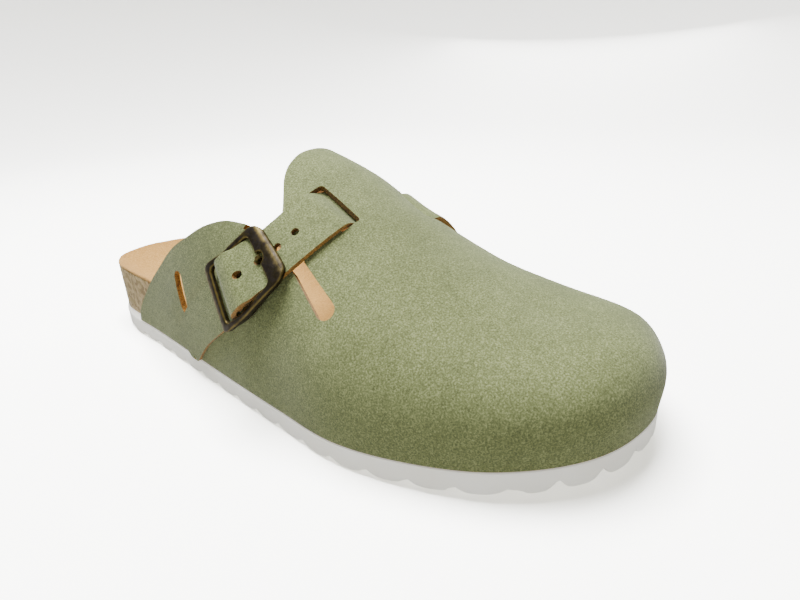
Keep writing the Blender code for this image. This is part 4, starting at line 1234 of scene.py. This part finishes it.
def on_frame(u, v):
    index = np.round(u * len(FRAME_OUTER)).astype(int) % len(FRAME_OUTER)
    outer, inner = FRAME_OUTER[index], FRAME_INNER[index]
    turn = v * 2 * math.pi
    # A box with soft corners: its cosine and sine are pushed out towards a square.
    c, s = np.cos(turn), np.sin(turn)
    power = 0.42
    across = 0.5 + 0.5 * np.sign(c) * np.abs(c) ** power
    upwards = 0.5 + 0.5 * np.sign(s) * np.abs(s) ** power
    spot = inner + (outer - inner) * across[:, None]
    heights = frame_heights(spot[:, 0])
    height = heights[:, 0] + (heights[:, 1] - heights[:, 0]) * upwards
    return band_point(spot[:, 0], spot[:, 1], height)


form = bmesh.new()
laid_grid(form, len(FRAME_OUTER), SECTION_STEPS, on_frame)
merged(form, 1e-6)
buckle_cast = piece_of("buckle_cast", form, [brass])
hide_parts("buckle_frame")
turn = np.arange(20) * math.pi / 10
place = frame_start() + FRAME_BAR
f = place + NOTCH_RADIUS * np.cos(turn)
a = NOTCH_RADIUS * np.sin(turn)
low = band_point(f, a, np.full(20, CLEAR))
high = band_point(f, a, np.full(20, 6 * FRAME_THICK))
HELPERS.append(cutter_of("notch_punch", low, high, brass))
cut_with(buckle_cast, HELPERS[-1])
settled(buckle_cast, 42)

# %% Wear along the edges of the casting
def paint_wear(piece):
    """Writes the wear attribute: high where the surface turns sharply."""
    form = bmesh.new()
    form.from_mesh(piece.data)
    bend = [max((abs(edge_.calc_face_angle(0.0)) for edge_ in vert.link_edges), default=0.0)
            for vert in form.verts]
    form.free()
    layer = piece.data.attributes.new("wear", "FLOAT", "POINT")
    layer.data.foreach_set("value", np.clip(np.array(bend) * 2.2, 0, 1).astype(np.float32))


paint_wear(buckle_cast)

# %% [markdown]
# The pin is a round wire cast in one with the frame. The prong is a wire bent round the
# pin. It runs under the strap, comes up through the third hole and rests with its
# flattened tip in the notch of the wide bar.

# %% Pin and prong
def tube_through(name, spots, radii, material, round_steps=12):
    """A closed round tube through the spots, from one grid rolled along them."""
    spots = np.asarray(spots)
    step = np.gradient(spots, axis=0)
    step /= np.linalg.norm(step, axis=1, keepdims=True)
    out = skin_out(spots)
    side = np.cross(step, out)
    side /= np.linalg.norm(side, axis=1, keepdims=True)
    lift = np.cross(side, step)

    def place(u, v):
        k = np.round(u * (len(spots) - 1)).astype(int)
        turn = v * 2 * math.pi
        return (spots[k] + side[k] * (radii[k] * np.cos(turn))[:, None]
                + lift[k] * (radii[k] * np.sin(turn))[:, None])

    form = bmesh.new()
    laid_grid(form, len(spots) - 1, round_steps, place)
    bmesh.ops.remove_doubles(form, verts=form.verts, dist=1e-6)
    bmesh.ops.holes_fill(form, edges=form.edges, sides=0)
    bmesh.ops.recalc_face_normals(form, faces=form.faces)
    piece = piece_of(name, form, [material])
    return settled(piece, 50)


def skin_out(spots):
    """The upper's outward direction near the buckle, the same for all these spots."""
    out = band_point(pin_place()[0], 0.0, 0.003) - band_point(pin_place()[0], 0.0, 0.0)
    return np.tile(out / np.linalg.norm(out), (len(spots), 1))


far, height = pin_place()
reach = STRAP_WIDE / 2 + FRAME_PLAY + FRAME_SIDE / 2
width = np.linspace(-reach, reach, 15)
pin_spots = band_point(np.full(15, far), width, np.full(15, height))
buckle_pin = tube_through("buckle_pin", pin_spots, np.full(15, PIN_RADIUS), brass)


def prong_line():
    """(distance, height) of the prong's middle line."""
    radius = PIN_RADIUS + CLEAR + PRONG_RADIUS
    hole = in_use()
    strap_top = float(eased(LIFT_ROWS, np.float64(hole))[0]) + STRAP_THICK
    bar_top = float(frame_heights(np.float64(frame_start() + FRAME_BAR))[1])
    rest = max(strap_top + CLEAR, bar_top) - 0.2 * PRONG_RADIUS
    low = PRONG_RADIUS + CLEAR
    line = []
    for k in range(13):
        turn = math.radians(-35 + k * 12)
        line.append((far + radius * math.cos(turn), height + radius * math.sin(turn)))
    line.append((hole + 0.45 * (far - hole), low + 0.35 * (height - low)))
    line.append((hole + 0.15 * (far - hole), low))
    line.append((hole + 0.9 * PRONG_RADIUS, low + 0.15 * PRONG_RADIUS))
    line.append((hole, low + 1.3 * PRONG_RADIUS))
    line.append((hole - 0.1 * PRONG_RADIUS, rest - 0.6 * PRONG_RADIUS))
    line.append((hole - 1.1 * PRONG_RADIUS, rest + 0.1 * PRONG_RADIUS))
    line.append((hole - 0.85 * NOTCH_RADIUS, rest))
    return np.array(line)


line = prong_line()
radii = np.full(len(line), PRONG_RADIUS)
radii[-1] *= 0.85
prong_spots = band_point(line[:, 0], np.zeros(len(line)), line[:, 1])
buckle_prong = tube_through("buckle_prong", prong_spots, radii, brass)
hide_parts("prong")
paint_wear(buckle_pin)
paint_wear(buckle_prong)

# %% The knives and punches have done their work
for helper in HELPERS:
    bpy.data.objects.remove(helper, do_unlink=True)

# %% [markdown]
# The photo is taken from the outer side and a little above, close, with a wide lens, and
# slightly rolled. The camera stands where the fit of the photo's measured points puts it.

# %% Camera
AZIMUTH, ELEVATION, ROLL = math.radians(-52.276), math.radians(23.502), math.radians(-3.096)
TARGET = np.array([0.03065, -0.016795, 0.020]) + STAND
DISTANCE = 0.259126
FOCAL_PIXELS = 577.257
back = np.array([math.sin(AZIMUTH) * math.cos(ELEVATION),
                 -math.cos(AZIMUTH) * math.cos(ELEVATION), math.sin(ELEVATION)])
level = np.array([math.cos(AZIMUTH), math.sin(AZIMUTH), 0.0])
upright = np.cross(back, level)
right = math.cos(ROLL) * level + math.sin(ROLL) * upright
above = -math.sin(ROLL) * level + math.cos(ROLL) * upright
camera = bpy.data.objects.new("camera", bpy.data.cameras.new("camera"))
bpy.context.scene.collection.objects.link(camera)
camera.data.sensor_width = 36.0
camera.data.lens = 36.0 * FOCAL_PIXELS / 800
camera.data.clip_start = 0.01
camera.data.clip_end = 50.0
turn = Matrix((right, above, back)).transposed()
camera.matrix_world = Matrix.Translation(TARGET + back * DISTANCE) @ turn.to_4x4()
bpy.context.scene.camera = camera

# %% [markdown]
# A sheet of white paper lies under the shoe and rises all round it. One large soft light
# hangs above the shoe, and two weak ones stand low at its sides. The pool of light near
# the shoe makes the paper nearly white there and lets it fall to grey far behind.

# %% Floor, world and lights
PAPER_BEND, PAPER_RADIUS, PAPER_TOP = 0.75, 1.1, 3.0


def on_paper(u, v):
    """A sheet that lies under the shoe and bends up all round it, far from the shoe."""
    run = v * (PAPER_BEND + PAPER_RADIUS * math.pi / 2 + PAPER_TOP)
    turn = np.clip((run - PAPER_BEND) / PAPER_RADIUS, 0, math.pi / 2)
    rest = np.clip(run - PAPER_BEND - PAPER_RADIUS * math.pi / 2, 0, None)
    away = np.minimum(run, PAPER_BEND) + PAPER_RADIUS * np.sin(turn)
    height = PAPER_RADIUS * (1 - np.cos(turn)) + rest
    way_round = u * 2 * math.pi
    return np.column_stack([away * np.cos(way_round), away * np.sin(way_round), height]) - STAND


form = bmesh.new()
laid_grid(form, 96, 80, on_paper)
bmesh.ops.remove_doubles(form, verts=form.verts, dist=1e-4)
turned(form, (0.3, 0.0, 0.0), (0.0, 0.0, 1.0))
mesh = bpy.data.meshes.new("paper_sweep")
form.to_mesh(mesh)
form.free()
mesh.shade_smooth()
floor = bpy.data.objects.new("paper_sweep", mesh)
bpy.context.scene.collection.objects.link(floor)
# The camera sees the paper overexposed, as in the photo, while the shoe gets the light
# of an ordinary table from it. The world is brighter to the camera in the same way.
paper, tree, shader = new_material("white_paper_overexposed", 0.9)
shader.inputs["Base Color"].default_value = linear("#bab9b4")
shader.inputs["Specular IOR Level"].default_value = 0.0
seen = add_node(tree, "LightPath").outputs["Is Camera Ray"]
bright = add_node(tree, "BsdfDiffuse", [("Color", (3.2, 3.2, 3.12, 1.0))])
both = add_node(tree, "MixShader", [(0, seen), (1, shader.outputs[0]), (2, bright.outputs[0])])
tree.links.new(both.outputs[0], tree.nodes["Material Output"].inputs["Surface"])
mesh.materials.append(paper)

world = bpy.data.worlds.new("studio")
bpy.context.scene.world = world
world.use_nodes = True
tree = world.node_tree
seen = add_node(tree, "LightPath").outputs["Is Camera Ray"]
power = add_node(tree, "MapRange", [("Value", seen), ("To Min", 0.50), ("To Max", 2.0)])
background = tree.nodes["Background"]
background.inputs["Color"].default_value = linear("#f4f2ea")
tree.links.new(power.outputs["Result"], background.inputs["Strength"])


def soft_light(name, spot, aim, size, power, colour="#ffffff"):
    """A square area light at a spot, turned to its aim."""
    data = bpy.data.lights.new(name, "AREA")
    data.size = size
    data.energy = power
    data.color = linear(colour)[:3]
    light = bpy.data.objects.new(name, data)
    bpy.context.scene.collection.objects.link(light)
    light.location = spot
    towards = Vector(aim) - Vector(spot)
    light.rotation_euler = towards.to_track_quat("-Z", "Y").to_euler()
    return light


soft_light("soft_top", (0.02, 0.16, 1.0), (0.0, -0.02, 0.03), 0.6, 29.0)
soft_light("low_fill", (-0.9, -0.75, 0.4), (0.0, 0.0, 0.0), 0.5, 1.8)
soft_light("side_fill", (1.1, 0.3, 0.45), (0.0, 0.0, 0.03), 0.6, 3.6)
